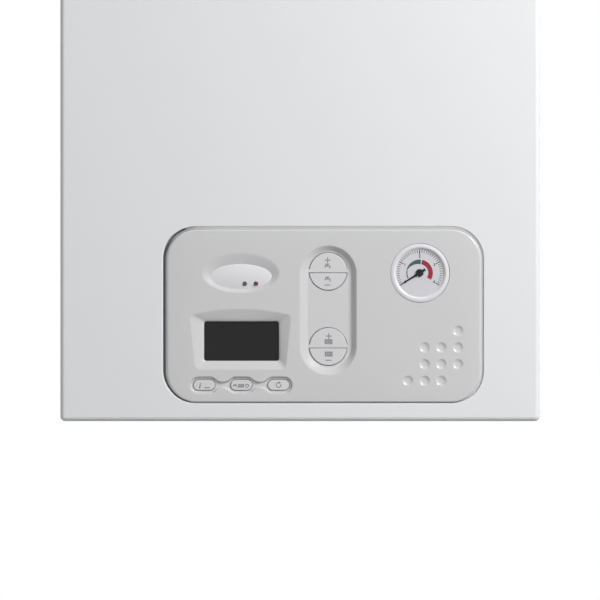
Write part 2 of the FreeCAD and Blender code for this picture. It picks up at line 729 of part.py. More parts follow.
def bottom_plate():
    """Bottom cover with its connection holes, and a skirt welded on whose lip takes the casing's screws."""
    half = FRAME_HALF - FRAME_SHEET - FIT_GAP
    lip_z = LIP_TOP_Z + FRAME_SHEET
    lip_y = FRONT_Y + FRONT_LIP_START + BOTTOM_LIP_END_GAP
    skin = [(-BOTTOM_PLATE_REACH, BOTTOM_FACE_Z), (-BOTTOM_PLATE_REACH, lip_z), (lip_y, lip_z)]
    skirt = sheet_strip([Vector(-half, y, z) for y, z in skin], FRAME_SHEET, RIGHT * (2 * half))
    cover = block((-half, half), (FRAME_SHEET - BOTTOM_PLATE_REACH, -FRAME_SHEET - FIT_GAP),
                  (BOTTOM_PLATE_HEIGHT, BOTTOM_FACE_Z))
    wide, narrow = WIDE_THREAD_RADIUS + THREAD_HOLE_GAP, NARROW_THREAD_RADIUS + THREAD_HOLE_GAP
    holes = [(-HEATING_X, CONNECTION_Y, wide), (HEATING_X, CONNECTION_Y, wide), (0, CONNECTION_Y, wide),
             (-WATER_X, CONNECTION_Y, narrow), (WATER_X, CONNECTION_Y, narrow),
             (SAFETY_X, BLOCK_FRONT_Y - SAFETY_LENGTH / 2, SAFETY_TAIL_RADIUS + THREAD_HOLE_GAP),
             (TAP_X, TAP_Y, TAP_SPINDLE_RADIUS + THREAD_HOLE_GAP), (GLAND_X, GLAND_Y, GLAND_RADIUS + FIT_GAP)]
    for x, y, radius in holes:
        cover = cover.cut(rod(radius, Vector(x, y, BOTTOM_PLATE_HEIGHT - OVERRUN),
                              Vector(x, y, BOTTOM_FACE_Z + OVERRUN)))
    for x in (-LIP_SCREW_X, LIP_SCREW_X):
        skirt = skirt.cut(screw_hole(x, LIP_SCREW_Y, lip_z))
    return Part.makeCompound([cover, skirt])


def screw(x, y, seat, direction):
    """A pan-head screw; the head sits on the seat and the shank runs along the direction."""
    seat_point = Vector(x, y, seat)
    head = turned([(0, 0), (SCREW_HEAD_RADIUS, 0), (SCREW_HEAD_RADIUS, -SCREW_HEAD_HEIGHT),
                   (0, -SCREW_HEAD_HEIGHT)],
                  [0, 0, SCREW_HEAD_HEIGHT / 2, 0], seat_point, direction)
    return joined([head, rod(SCREW_RADIUS, seat_point, seat_point + direction * SCREW_LENGTH)])


def casing_screws():
    """Screws of the front casing, the top plate and the air collar."""
    collar_seat = TOP_FACE_Z + COLLAR_FLANGE_THICKNESS
    screws = [screw(x, LIP_SCREW_Y, FRONT_LIP_RISE, UP) for x in (-LIP_SCREW_X, LIP_SCREW_X)]
    screws += [screw(x, -TOP_SCREW_INSET, TOP_FACE_Z, -UP) for x in (-TOP_SCREW_X, TOP_SCREW_X)]
    screws += [screw(x, y, collar_seat, -UP) for x, y in collar_screw_places()]
    return Part.makeCompound(screws)


def air_collar():
    """Outer ring of the concentric flue connection, on a screwed flange."""
    wall = COLLAR_RADIUS + COLLAR_WALL
    flange = wall + COLLAR_FLANGE
    profile = [(COLLAR_RADIUS, 0), (flange, 0), (flange, COLLAR_FLANGE_THICKNESS),
               (wall, COLLAR_FLANGE_THICKNESS),
               (wall, COLLAR_HEIGHT), (COLLAR_RADIUS, COLLAR_HEIGHT)]
    ring = turned(profile, [0] * len(profile), Vector(0, FLUE_Y, TOP_FACE_Z), UP)
    for x, y in collar_screw_places():
        ring = ring.cut(screw_hole(x, y, TOP_FACE_Z))
    return ring


def flue_outlet_pipe():
    """Inner pipe of the concentric flue connection, standing on the fan's outlet."""
    low = Vector(0, FLUE_Y, OUTLET_TOP_Z + SCROLL_WALL)
    high = Vector(0, FLUE_Y, COLLAR_TOP_Z - FLUE_DROP)
    return rod(FLUE_RADIUS + FLUE_WALL, low, high).cut(rod(FLUE_RADIUS, low, high))


def ellipse(u, v, half_width, half_height, y):
    """An upright elliptical wire on the control panel."""
    centre = on_face(u, v, y)
    curve = Part.Ellipse(centre + RIGHT * half_width, centre + UP * half_height, centre)
    return Part.Wire(curve.toShape())


def dish_void():
    """Badge dish: a loft from the wide outline on the face to the lens's seat."""
    seat = ellipse(LENS_U, LENS_V, LENS_HALF_WIDTH + FIT_GAP, LENS_HALF_HEIGHT + FIT_GAP, DISH_FLOOR_Y)
    return Part.makeLoft([ellipse(DISH_U, DISH_V, DISH_HALF_WIDTH, DISH_HALF_HEIGHT, FACE_Y), seat], True,
                         True)


def dish_boss():
    """Material behind the badge dish."""
    outline = ellipse(DISH_U, DISH_V, DISH_HALF_WIDTH + BOSS_MARGIN, DISH_HALF_HEIGHT + BOSS_MARGIN,
                      FACE_Y + FASCIA_WALL)
    return Part.Face(outline).extrude(BACK * DISH_DEPTH)


def display_outline(grow, y):
    """Outline of the display recess: sloping sides under an arched top."""
    top = DISPLAY_HEIGHT / 2 + DISPLAY_TOP_RISE + grow
    foot = DISPLAY_HEIGHT / 2 + DISPLAY_FOOT_DROP + grow
    wide, narrow = DISPLAY_TOP_WIDTH / 2 + grow, DISPLAY_FOOT_WIDTH / 2 + grow
    at = [on_face(DISPLAY_U + u, DISPLAY_V + v, y) for u, v in
          ((-narrow, -foot), (narrow, -foot), (wide, top), (0, top + DISPLAY_ARCH), (-wide, top))]
    sides = [Part.LineSegment(at[4], at[0]), Part.LineSegment(at[0], at[1]), Part.LineSegment(at[1], at[2])]
    arch = Part.Arc(at[2], at[3], at[4])
    return Part.Wire([side.toShape() for side in sides] + [arch.toShape()])


def display_floor(y):
    """The display opening, as a plain rectangle that starts at the same corner as the outline."""
    corners = rectangle(OPENING_X + DISPLAY_U, OPENING_Z + DISPLAY_V, DISPLAY_WIDTH, DISPLAY_HEIGHT, y)
    return Part.makePolygon([corners[3]] + corners)


def display_void():
    """Display recess and the opening at its floor."""
    floor_y = FACE_Y + DISPLAY_DEPTH
    slope = Part.makeLoft([display_outline(0, FACE_Y), display_floor(floor_y)], True, True)
    opening = front_plate(OPENING_X + DISPLAY_U, OPENING_Z + DISPLAY_V, DISPLAY_WIDTH, DISPLAY_HEIGHT, 0,
                          floor_y - OVERRUN, WINDOW_Y + OVERRUN)
    return slope, opening


def display_boss():
    """Material behind the display recess."""
    return Part.Face(display_outline(BOSS_MARGIN, FACE_Y + FASCIA_WALL)).extrude(
        BACK * (DISPLAY_DEPTH + DISPLAY_RIM - FASCIA_WALL))


def round_ended(first, last, radius, depth):
    """A slab with round ends about two points of the control panel, first below or left of last."""
    along = (last - first).normalize()
    side = along.cross(BACK) * radius
    corners = [first - side, first + side, last + side, last - side]
    near = Part.Arc(corners[0], first - along * radius, corners[1])
    far = Part.Arc(corners[2], last + along * radius, corners[3])
    sides = [Part.LineSegment(corners[1], corners[2]), Part.LineSegment(corners[3], corners[0])]
    outline = Part.Wire([curve.toShape() for curve in (near, sides[0], far, sides[1])])
    return Part.Face(outline).extrude(BACK * depth)


def upright_stadium(radius, front, rear):
    """An upright round-ended slab about the two split keys."""
    return round_ended(on_face(KEY_U, KEY_LOW_V, front), on_face(KEY_U, KEY_HIGH_V, front), radius,
                       rear - front)


def key_recess_void():
    """Upright recess with sloping walls: a turned end at each key and a straight run between."""
    floor = KEY_RECESS_DEPTH
    profile = [(0, -OVERRUN), (KEY_RECESS_RADIUS, -OVERRUN), (KEY_RECESS_RADIUS, 0),
               (KEY_FLOOR_RADIUS, floor), (0, floor)]
    ends = [turned(profile, [0] * len(profile), on_face(KEY_U, v, FACE_Y), BACK)
            for v in (KEY_HIGH_V, KEY_LOW_V)]
    half = profile[1:4]
    across = [(radius, along) for radius, along in half] + [(-radius, along) for radius, along in half[::-1]]
    section = [on_face(KEY_U + radius, KEY_LOW_V, FACE_Y + along) for radius, along in across]
    return joined(ends + [plate(section, 0, UP * (KEY_HIGH_V - KEY_LOW_V))])


def half_round(v, side, radius, flat, front, rear):
    """Half of a round slab; the side is 1 above its bar and -1 below."""
    reach = math.sqrt(radius ** 2 - flat ** 2)
    left = on_face(KEY_U - reach, v + side * flat, front)
    right = on_face(KEY_U + reach, v + side * flat, front)
    arc = Part.Arc(right, on_face(KEY_U, v + side * radius, front), left).toShape()
    return Part.Face(Part.Wire([arc, Part.LineSegment(left, right).toShape()])).extrude(BACK * (rear - front))


def pill(u, width, height, front, rear):
    """A level round-ended slab of the key row."""
    end = (width - height) / 2
    return round_ended(on_face(u - end, PILL_V, front), on_face(u + end, PILL_V, front), height / 2,
                       rear - front)


def pill_places():
    """Middles of the three pill keys."""
    return [PILL_U + PILL_PITCH * step for step in (-1, 0, 1)]


def waisted_outline(inset, y):
    """Outline of the pill recess: three lobes joined by round waists, drawn in by an inset."""
    lobe = PILL_HEIGHT / 2 + PILL_MARGIN
    end = (PILL_WIDTH - PILL_HEIGHT) / 2
    half_gap = PILL_PITCH / 2 - end
    waist = (half_gap ** 2 + (PILL_WAIST / 2) ** 2 - lobe ** 2) / (2 * (lobe - PILL_WAIST / 2))
    share = lobe / (lobe + waist)
    tangent = Vector(half_gap, 0, waist + PILL_WAIST / 2) * share
    touch = Vector(tangent).normalize() * (lobe - inset)
    edges = []
    for side in (1, -1):
        centres = pill_places()[::-side]
        for u in centres:
            first = on_face(u + side * end, PILL_V, y)
            last = on_face(u - side * end, PILL_V, y)
            start, stop = side * (lobe - inset), Vector(side * touch.x, 0, side * touch.z)
            if u == centres[0]:
                edges.append(lobe_arc(first, Vector(start, 0, 0), Vector(0, 0, start)))
            else:
                edges.append(lobe_arc(first, stop, Vector(0, 0, start)))
            edges.append(Part.LineSegment(first + UP * start, last + UP * start).toShape())
            if u == centres[-1]:
                edges.append(lobe_arc(last, Vector(0, 0, start), Vector(-start, 0, 0)))
                continue
            mirrored = Vector(-stop.x, 0, stop.z)
            edges.append(lobe_arc(last, Vector(0, 0, start), mirrored))
            following = on_face(u - side * (PILL_PITCH - end), PILL_V, y)
            low = on_face(u - side * PILL_PITCH / 2, PILL_V + side * (PILL_WAIST / 2 - inset), y)
            edges.append(Part.Arc(last + mirrored, low, following + stop).toShape())
    return Part.Wire(edges)


def lobe_arc(centre, start, stop):
    """A round stretch of a lobe between two directions from its centre."""
    middle = (start + stop).normalize() * start.Length
    return Part.Arc(centre + start, centre + middle, centre + stop).toShape()


def pill_void():
    """Waisted recess of the pill keys, with sloping walls."""
    floor = waisted_outline(PILL_RECESS_SLOPE, FACE_Y + PILL_RECESS_DEPTH)
    return Part.makeLoft([waisted_outline(0, FACE_Y), floor], True, True)


def fascia_pad(grow, front, rear):
    """A slab with the fascia's outline, grown on all sides."""
    return front_plate(OPENING_X, OPENING_Z, FASCIA_WIDTH + 2 * grow, FASCIA_HEIGHT + 2 * grow,
                       FASCIA_RADIUS + grow, front, rear)


def fascia_shell():
    """Moulded shell of the fascia before its recesses: rounded front, side walls and rear flange."""
    pad = fascia_pad(0, FACE_Y, FLANGE_REAR_Y)
    front_edges = [edge for edge in pad.Edges if edge.CenterOfMass.y < FACE_Y + SAME_POINT]
    pad = pad.makeFillet(FASCIA_ROUND, front_edges)
    flange = fascia_pad(FASCIA_FLANGE, FLANGE_FRONT_Y, FLANGE_REAR_Y)
    hollow = fascia_pad(-FASCIA_WALL, FACE_Y + FASCIA_WALL, FLANGE_REAR_Y + OVERRUN)
    inner = FACE_Y + FASCIA_WALL
    pill_row = front_plate(OPENING_X + PILL_U, OPENING_Z + PILL_V,
                           2 * PILL_PITCH + PILL_WIDTH + 2 * PILL_MARGIN,
                           PILL_HEIGHT + 2 * PILL_MARGIN, BOSS_MARGIN, inner, inner + PILL_RECESS_DEPTH)
    bosses = [upright_stadium(KEY_RECESS_RADIUS, inner, inner + KEY_RECESS_DEPTH), pill_row,
              display_boss(), dish_boss()]
    return joined([joined([pad, flange]).cut(hollow)] + bosses)


def dimples():
    """Ball-shaped cutters for the dimples."""
    ball = (DIMPLE_RADIUS ** 2 + DIMPLE_DEPTH ** 2) / (2 * DIMPLE_DEPTH)
    y = FACE_Y + DIMPLE_DEPTH - ball
    places = [(DIMPLE_U + DIMPLE_PITCH * column, DIMPLE_V - DIMPLE_PITCH * row) for column,
              row in DIMPLE_CELLS]
    return [Part.makeSphere(ball, on_face(u, v, y)) for u, v in places]


def key_openings():
    """Cutters for the split round keys and the pill keys, through their recess floors."""
    front, rear = FACE_Y + FASCIA_ROUND / 2, FLANGE_REAR_Y
    cutters = [half_round(v, side, KEY_RADIUS, KEY_BAR / 2, front, rear)
               for v in (KEY_HIGH_V, KEY_LOW_V) for side in (1, -1)]
    return cutters + [pill(u, PILL_WIDTH, PILL_HEIGHT, front, rear) for u in pill_places()]


def control_fascia():
    """The moulded fascia with its dish, display recess, key recesses, dimples and gauge hole."""
    slope, opening = display_void()
    cutters = [dish_void(), slope, opening, key_recess_void(), pill_void()] + key_openings() + dimples()
    cutters.append(hole(GAUGE_DIAL_RADIUS + GAUGE_CUP_WALL + FIT_GAP, GAUGE_U, GAUGE_V, FACE_Y - OVERRUN,
                        FLANGE_REAR_Y))
    for shift in (LED_GREEN_SHIFT, LED_RED_SHIFT):
        cutters.append(hole(LED_RADIUS + FIT_GAP, LENS_U + shift, LENS_V - LED_DROP, FACE_Y, FLANGE_REAR_Y))
    fascia = fascia_shell()
    for cutter in cutters:
        fascia = fascia.cut(cutter)
    return fascia


def badge_lens():
    """Domed oval lens, turned round and then drawn in to its oval outline."""
    width = LENS_HALF_WIDTH
    ball = (width ** 2 + LENS_CROWN ** 2) / (2 * LENS_CROWN)
    centre = on_face(LENS_U, LENS_V, DISH_FLOOR_Y)
    disc = rod(width, centre, centre - BACK * (LENS_EDGE + LENS_CROWN))
    dome = Part.makeSphere(ball, centre - BACK * (LENS_EDGE + LENS_CROWN - ball))
    lens = disc.common(dome)
    lens.translate(-centre)
    squash = FreeCAD.Matrix()
    squash.scale(1, 1, LENS_HALF_HEIGHT / LENS_HALF_WIDTH)
    lens = lens.transformGeometry(squash)
    lens.translate(centre)
    for shift in (LED_GREEN_SHIFT, LED_RED_SHIFT):
        lens = lens.cut(hole(LED_RADIUS + FIT_GAP, LENS_U + shift, LENS_V - LED_DROP, FACE_Y - DISH_DEPTH,
                             DISH_FLOOR_Y + OVERRUN))
    return lens


def status_led(shift):
    """A light guide from the circuit board to just proud of the lens."""
    tip = DISH_FLOOR_Y - LENS_EDGE - LENS_CROWN - LED_STAND
    profile = [(0, 0), (LED_RADIUS, 0), (LED_RADIUS, BOARD_Y - tip), (0, BOARD_Y - tip)]
    radii = [0, 0, LED_RADIUS / 2, 0]
    return turned(profile, radii, on_face(LENS_U + shift, LENS_V - LED_DROP, BOARD_Y), -BACK)


def green_led():
    """Light guide of the running light."""
    return status_led(LED_GREEN_SHIFT)


def red_led():
    """Light guide of the fault light."""
    return status_led(LED_RED_SHIFT)


def display_window():
    """Dark window behind the display opening."""
    return front_plate(OPENING_X + DISPLAY_U, OPENING_Z + DISPLAY_V, DISPLAY_WIDTH + 2 * WINDOW_LAP,
                       DISPLAY_HEIGHT + 2 * WINDOW_LAP, DISPLAY_RADIUS, WINDOW_Y, WINDOW_Y + WINDOW_THICKNESS)


def display_module():
    """Display block between the window and the circuit board."""
    lap = 2 * (WINDOW_LAP - MODULE_MARGIN)
    return front_plate(OPENING_X + DISPLAY_U, OPENING_Z + DISPLAY_V, DISPLAY_WIDTH + lap,
                       DISPLAY_HEIGHT + lap,
                       DISPLAY_RADIUS, WINDOW_Y + WINDOW_THICKNESS + FIT_GAP, BOARD_Y)


def half_key(v, side):
    """One half of a split round key: rounded cap, retaining flange and stem."""
    floor_y = FACE_Y + KEY_RECESS_DEPTH
    flange_y = floor_y + FASCIA_WALL + FIT_GAP
    flat = KEY_BAR / 2 + KEY_CLEARANCE
    cap = half_round(v, side, KEY_RADIUS - KEY_CLEARANCE, flat, floor_y - KEY_PROUD, flange_y)
    cap = cap.makeFillet(KEY_ROUND,
                         [edge for edge in cap.Edges if edge.CenterOfMass.y < floor_y - KEY_PROUD / 2])
    flange = half_round(v, side, KEY_RADIUS + KEY_LAP, KEY_CLEARANCE, flange_y,
                        flange_y + KEY_FLANGE_THICKNESS)
    stem = hole(KEY_STEM_RADIUS, KEY_U, v + side * KEY_RADIUS / 2, flange_y, STEM_END_Y)
    return joined([cap, flange, stem])


def hot_water_plus_button():
    """Upper half of the upper round key."""
    return half_key(KEY_HIGH_V, 1)


def hot_water_minus_button():
    """Lower half of the upper round key."""
    return half_key(KEY_HIGH_V, -1)


def heating_plus_button():
    """Upper half of the lower round key."""
    return half_key(KEY_LOW_V, 1)


def heating_minus_button():
    """Lower half of the lower round key."""
    return half_key(KEY_LOW_V, -1)


def pill_key(u):
    """One pill key: rounded cap, retaining flange and stem."""
    floor_y = FACE_Y + PILL_RECESS_DEPTH
    flange_y = floor_y + FASCIA_WALL + FIT_GAP
    shrink = 2 * KEY_CLEARANCE
    cap = pill(u, PILL_WIDTH - shrink, PILL_HEIGHT - shrink, floor_y - KEY_PROUD, flange_y)
    cap = cap.makeFillet(KEY_ROUND,
                         [edge for edge in cap.Edges if edge.CenterOfMass.y < floor_y - KEY_PROUD / 2])
    flange = pill(u, PILL_WIDTH + 2 * KEY_LAP, PILL_HEIGHT + 2 * KEY_LAP, flange_y,
                  flange_y + KEY_FLANGE_THICKNESS)
    return joined([cap, flange, hole(KEY_STEM_RADIUS, u, PILL_V, flange_y, STEM_END_Y)])


def info_button():
    """Left pill key."""
    return pill_key(pill_places()[0])


def mode_button():
    """Middle pill key."""
    return pill_key(pill_places()[1])


def reset_button():
    """Right pill key."""
    return pill_key(pill_places()[2])


def key_places():
    """Where each key's stem points at the board."""
    places = [(KEY_U, v + side * KEY_RADIUS / 2) for v in (KEY_HIGH_V, KEY_LOW_V) for side in (1, -1)]
    return places + [(u, PILL_V) for u in pill_places()]


def key_switches():
    """One push switch on the board behind each key."""
    switches = []
    for u, v in key_places():
        body = front_plate(OPENING_X + u, OPENING_Z + v, SWITCH_WIDTH, SWITCH_WIDTH, 0,
                           BOARD_Y - SWITCH_BODY, BOARD_Y)
        switches.append(joined([body,
                                hole(SWITCH_TIP_RADIUS, u, v, BOARD_Y - SWITCH_HEIGHT,
                                     BOARD_Y - SWITCH_BODY)]))
    return Part.makeCompound(switches)


def control_board():
    """Circuit board behind the keys and the display."""
    return front_plate(OPENING_X + BOARD_SHIFT, OPENING_Z, BOARD_WIDTH, BOARD_HEIGHT, BOARD_CORNER,
                       BOARD_Y, BOARD_Y + BOARD_THICKNESS)


def control_box_cover():
    """Rear shell of the control box, with posts for the board and a hole for the capillary."""
    grow = FASCIA_FLANGE - COVER_INSET
    shell = fascia_pad(grow, FLANGE_REAR_Y, COVER_REAR_Y)
    shell = shell.cut(fascia_pad(grow - COVER_WALL, FLANGE_REAR_Y - OVERRUN, COVER_REAR_Y - COVER_WALL))
    posts = [hole(POST_RADIUS, BOARD_SHIFT + u * (BOARD_WIDTH / 2 - POST_INSET),
                  v * (BOARD_HEIGHT / 2 - POST_INSET),
                  BOARD_Y + BOARD_THICKNESS, COVER_REAR_Y - COVER_WALL) for u in (-1, 1) for v in (-1, 1)]
    return joined([shell] + posts).cut(hole(CAPILLARY_HOLE, GAUGE_U, GAUGE_V,
                                            COVER_REAR_Y - 2 * COVER_WALL, COVER_REAR_Y + OVERRUN))


def gauge_case():
    """Gauge cup with its rounded rim on the fascia, a lens seat and a socket for the capillary."""
    cup, lens = GAUGE_DIAL_RADIUS + GAUGE_CUP_WALL, GAUGE_DIAL_RADIUS + GAUGE_LENS_LAP
    socket_end = GAUGE_CUP_DEPTH + GAUGE_SOCKET_LENGTH
    profile = [(0, GAUGE_DIAL_DEPTH), (GAUGE_DIAL_RADIUS, GAUGE_DIAL_DEPTH),
               (GAUGE_DIAL_RADIUS, -GAUGE_LENS_STAND),
               (lens, -GAUGE_LENS_STAND), (lens, -GAUGE_RIM_PROUD), (GAUGE_RIM_RADIUS, -GAUGE_RIM_PROUD),
               (GAUGE_RIM_RADIUS, 0), (cup, 0), (cup, GAUGE_CUP_DEPTH),
               (GAUGE_SOCKET_RADIUS, GAUGE_CUP_DEPTH), (GAUGE_SOCKET_RADIUS, socket_end), (0, socket_end)]
    radii = [0, 0, 0, 0, GAUGE_RIM_ROUND / 2, GAUGE_RIM_ROUND, 0, 0, GAUGE_RIM_ROUND, 0, 0, 0]
    case = turned(profile, radii, on_face(GAUGE_U, GAUGE_V, FACE_Y), BACK)
    bore_end = FACE_Y + GAUGE_DIAL_DEPTH + POINTER_SHAFT_LENGTH
    return case.cut(hole(POINTER_SHAFT_RADIUS + RUNNING_GAP, GAUGE_U, GAUGE_V, FACE_Y, bore_end))


def gauge_dial():
    """Round dial plate with a hole for the pointer's shaft."""
    rear = FACE_Y + GAUGE_DIAL_DEPTH
    disc = hole(GAUGE_DIAL_RADIUS - RUNNING_GAP, GAUGE_U, GAUGE_V, rear - GAUGE_DIAL_THICKNESS, rear)
    return disc.cut(hole(POINTER_SHAFT_RADIUS + FIT_GAP, GAUGE_U, GAUGE_V, FACE_Y, rear + OVERRUN))


def gauge_pointer():
    """Tapered needle with a hub, a short tail and a shaft, at its zero mark."""
    dial_y = FACE_Y + GAUGE_DIAL_DEPTH - GAUGE_DIAL_THICKNESS
    blade_y = dial_y - POINTER_LIFT
    half_root, half_tip = POINTER_ROOT_WIDTH / 2, POINTER_TIP_WIDTH / 2
    outline = [(-POINTER_TAIL, -half_root), (0, -half_root), (POINTER_LENGTH, -half_tip),
               (POINTER_LENGTH, half_tip), (0, half_root), (-POINTER_TAIL, half_root)]
    blade = plate([on_face(GAUGE_U + u, GAUGE_V + v, blade_y) for u, v in outline], 0,
                  -BACK * POINTER_THICKNESS)
    hub = hole(POINTER_HUB_RADIUS, GAUGE_U, GAUGE_V, blade_y - POINTER_HUB_HEIGHT, blade_y)
    shaft_end = FACE_Y + GAUGE_DIAL_DEPTH + POINTER_SHAFT_LENGTH / 2
    pointer = joined([hub, blade,
                      hole(POINTER_SHAFT_RADIUS, GAUGE_U, GAUGE_V, blade_y - POINTER_HUB_HEIGHT, shaft_end)])
    return pointer.rotate(on_face(GAUGE_U, GAUGE_V, FACE_Y), -BACK, POINTER_ZERO_ANGLE)


def gauge_lens():
    """Clear disc in the gauge's rim."""
    rear = FACE_Y - GAUGE_LENS_STAND
    return hole(GAUGE_DIAL_RADIUS + GAUGE_LENS_LAP - RUNNING_GAP, GAUGE_U, GAUGE_V,
                rear - GAUGE_LENS_THICKNESS, rear)


def gauge_capillary():
    """Thin pressure tube from the gauge to the return block, with one slack bend."""
    start_y = FACE_Y + GAUGE_CUP_DEPTH + GAUGE_SOCKET_LENGTH
    reach = BLOCK_FRONT_Y - COVER_REAR_Y
    sag_u = GAUGE_U - CAPILLARY_SAG
    end_u = HEATING_X - CAPILLARY_END_REACH - OPENING_X
    route = [(GAUGE_U, start_y), (GAUGE_U, COVER_REAR_Y + reach / 5), (sag_u, COVER_REAR_Y + reach / 2),
             (end_u, BLOCK_FRONT_Y - reach / 5), (end_u, BLOCK_FRONT_Y)]
    return bent_rod([on_face(u, GAUGE_V, y) for u, y in route], CAPILLARY_BEND, CAPILLARY_RADIUS)


def sealed_chamber():
    """Sheet box round the combustion group, closed on top by the top plate."""
    half = CHAMBER_WIDTH / 2
    box = block((-half, half), (-CHAMBER_FRONT, -CHAMBER_BACK), (CHAMBER_FLOOR, CHAMBER_TOP))
    inner = half - CHAMBER_SHEET
    box = box.cut(block((-inner, inner), (-CHAMBER_FRONT - OVERRUN, -CHAMBER_BACK - CHAMBER_SHEET),
                        (FLOOR_Z, CHAMBER_TOP + OVERRUN)))
    risers = [(-PIPE_RISER_X, tube_y(TUBE_COUNT - 1)), (PIPE_RISER_X, tube_y(0)), (0, CONNECTION_Y)]
    for x, y in risers:
        box = box.cut(rod(PIPE_RADIUS + PIPE_CLEARANCE, Vector(x, y, CHAMBER_FLOOR - OVERRUN),
                          Vector(x, y, FLOOR_Z + OVERRUN)))
    return box


def chamber_cover():
    """Lid of the sealed chamber: a raised panel and a rim that laps the walls."""
    half = CHAMBER_WIDTH / 2 + FIT_GAP
    outer = half + CHAMBER_SHEET
    low, high = CHAMBER_FLOOR - FIT_GAP, CHAMBER_TOP - FIT_GAP
    lid = block((-outer, outer), (-CHAMBER_FRONT - CHAMBER_SHEET, -CHAMBER_FRONT + CHAMBER_RIM),
                (low - CHAMBER_SHEET, high))
    lid = lid.cut(block((-half, half), (-CHAMBER_FRONT, -CHAMBER_FRONT + CHAMBER_RIM + OVERRUN),
                        (low, high + OVERRUN)))
    middle = (low + high) / 2
    size = (2 * half - 2 * CHAMBER_PANEL_INSET, high - low - 2 * CHAMBER_PANEL_INSET)
    face = -CHAMBER_FRONT - CHAMBER_SHEET
    raised = front_plate(0, middle, *size, CHAMBER_PANEL_INSET / 2, face - CHAMBER_PANEL_RISE, face)
    hollow = front_plate(0, middle, size[0] - 2 * CHAMBER_SHEET, size[1] - 2 * CHAMBER_SHEET,
                         CHAMBER_PANEL_INSET / 2 - CHAMBER_SHEET,
                         face - CHAMBER_PANEL_RISE + CHAMBER_SHEET, -CHAMBER_FRONT + OVERRUN)
    return joined([lid, raised]).cut(hollow)


def combustion_limits(inset):
    """Low and high limits of the combustion box in X and Y, drawn in by an inset."""
    half, deep = COMBUSTION_WIDTH / 2 - inset, COMBUSTION_DEPTH / 2 - inset
    return (-half, half), (COMBUSTION_Y - deep, COMBUSTION_Y + deep)


def electrode_places():
    """X places of the two electrodes."""
    return (-ELECTRODE_SPACING / 2, ELECTRODE_SPACING / 2)


def electrode_holes():
    """Cutters for the electrodes through the front wall and its lining."""
    z = FLOOR_Z + ELECTRODE_LIFT
    front, rear = -CHAMBER_FRONT, COMBUSTION_Y
    return [rod(ELECTRODE_RADIUS + FIT_GAP, Vector(x, front, z), Vector(x, rear, z))
            for x in electrode_places()]


def combustion_box():
    """Steel box round the flame, open above and below, with air windows front and rear."""
    x, y = combustion_limits(0)
    box = block(x, y, (FLOOR_Z, COMBUSTION_TOP))
    inner_x, inner_y = combustion_limits(CHAMBER_SHEET)
    box = box.cut(block(inner_x, inner_y, (FLOOR_Z - OVERRUN, COMBUSTION_TOP + OVERRUN)))
    window_x = (x[0] + AIR_WINDOW_MARGIN, x[1] - AIR_WINDOW_MARGIN)
    box = box.cut(block(window_x, (y[0] - OVERRUN, y[1] + OVERRUN),
                        (FLOOR_Z - OVERRUN, FLOOR_Z + AIR_WINDOW_HEIGHT)))
    for cutter in electrode_holes():
        box = box.cut(cutter)
    return box


def insulation_panels():
    """Four fibre boards that line the combustion box."""
    x, y = combustion_limits(CHAMBER_SHEET)
    z = (FLOOR_Z + LINING_FOOT, COMBUSTION_TOP)
    front = block(x, (y[0], y[0] + LINING), z)
    for cutter in electrode_holes():
        front = front.cut(cutter)
    rear = block(x, (y[1] - LINING, y[1]), z)
    side_y = (y[0] + LINING, y[1] - LINING)
    return Part.makeCompound([front, rear, block((x[0], x[0] + LINING), side_y, z),
                              block((x[1] - LINING, x[1]), side_y, z)])


def ramp_places():
    """X places of the burner ramps."""
    return [RAMP_PITCH * (index - (RAMP_COUNT - 1) / 2) for index in range(RAMP_COUNT)]


def burner():
    """Row of slotted burner ramps on two rails."""
    base = FLOOR_Z + RAMP_LIFT
    rear = COMBUSTION_Y + RAMP_LENGTH / 2
    pieces = []
    for x in ramp_places():
        outline = rectangle(x, base + RAMP_HEIGHT / 2, RAMP_WIDTH, RAMP_HEIGHT, rear - RAMP_LENGTH)
        ramp = plate(outline, RAMP_ROUND, BACK * RAMP_LENGTH)
        slot = (rear - RAMP_LENGTH + RAMP_WIDTH, rear - RAMP_WIDTH)
        pieces.append(ramp.cut(block((x - RAMP_SLOT_WIDTH / 2, x + RAMP_SLOT_WIDTH / 2), slot,
                                     (base + RAMP_HEIGHT - RAMP_SLOT_DEPTH, base + RAMP_HEIGHT + OVERRUN))))
    half = COMBUSTION_WIDTH / 2 - CHAMBER_SHEET - FIT_GAP
    for y in (COMBUSTION_Y - RAIL_SPACING / 2, COMBUSTION_Y + RAIL_SPACING / 2):
        pieces.append(block((-half, half), (y - RAIL_SIZE / 2, y + RAIL_SIZE / 2),
                            (base - RAIL_SIZE / 2, base + RAIL_SIZE / 2)))
    return joined(pieces)


def gas_manifold():
    """Gas bar with a nozzle for each burner ramp and a socket for the gas pipe."""
    places = ramp_places()
    ends = [Vector(x, CONNECTION_Y, MANIFOLD_Z)
            for x in (places[0] - MANIFOLD_OVERHANG, places[-1] + MANIFOLD_OVERHANG)]
    nozzles = []
    for x in places:
        root = Vector(x, CONNECTION_Y, MANIFOLD_Z)
        nozzles.append(rod(NOZZLE_RADIUS, root, root - BACK * (MANIFOLD_RADIUS + NOZZLE_LENGTH)))
    middle = Vector(0, CONNECTION_Y, MANIFOLD_Z)
    return joined([rod(MANIFOLD_RADIUS, *ends),
                   rod(SOCKET_RADIUS, middle, middle - UP * SOCKET_LENGTH)] + nozzles)


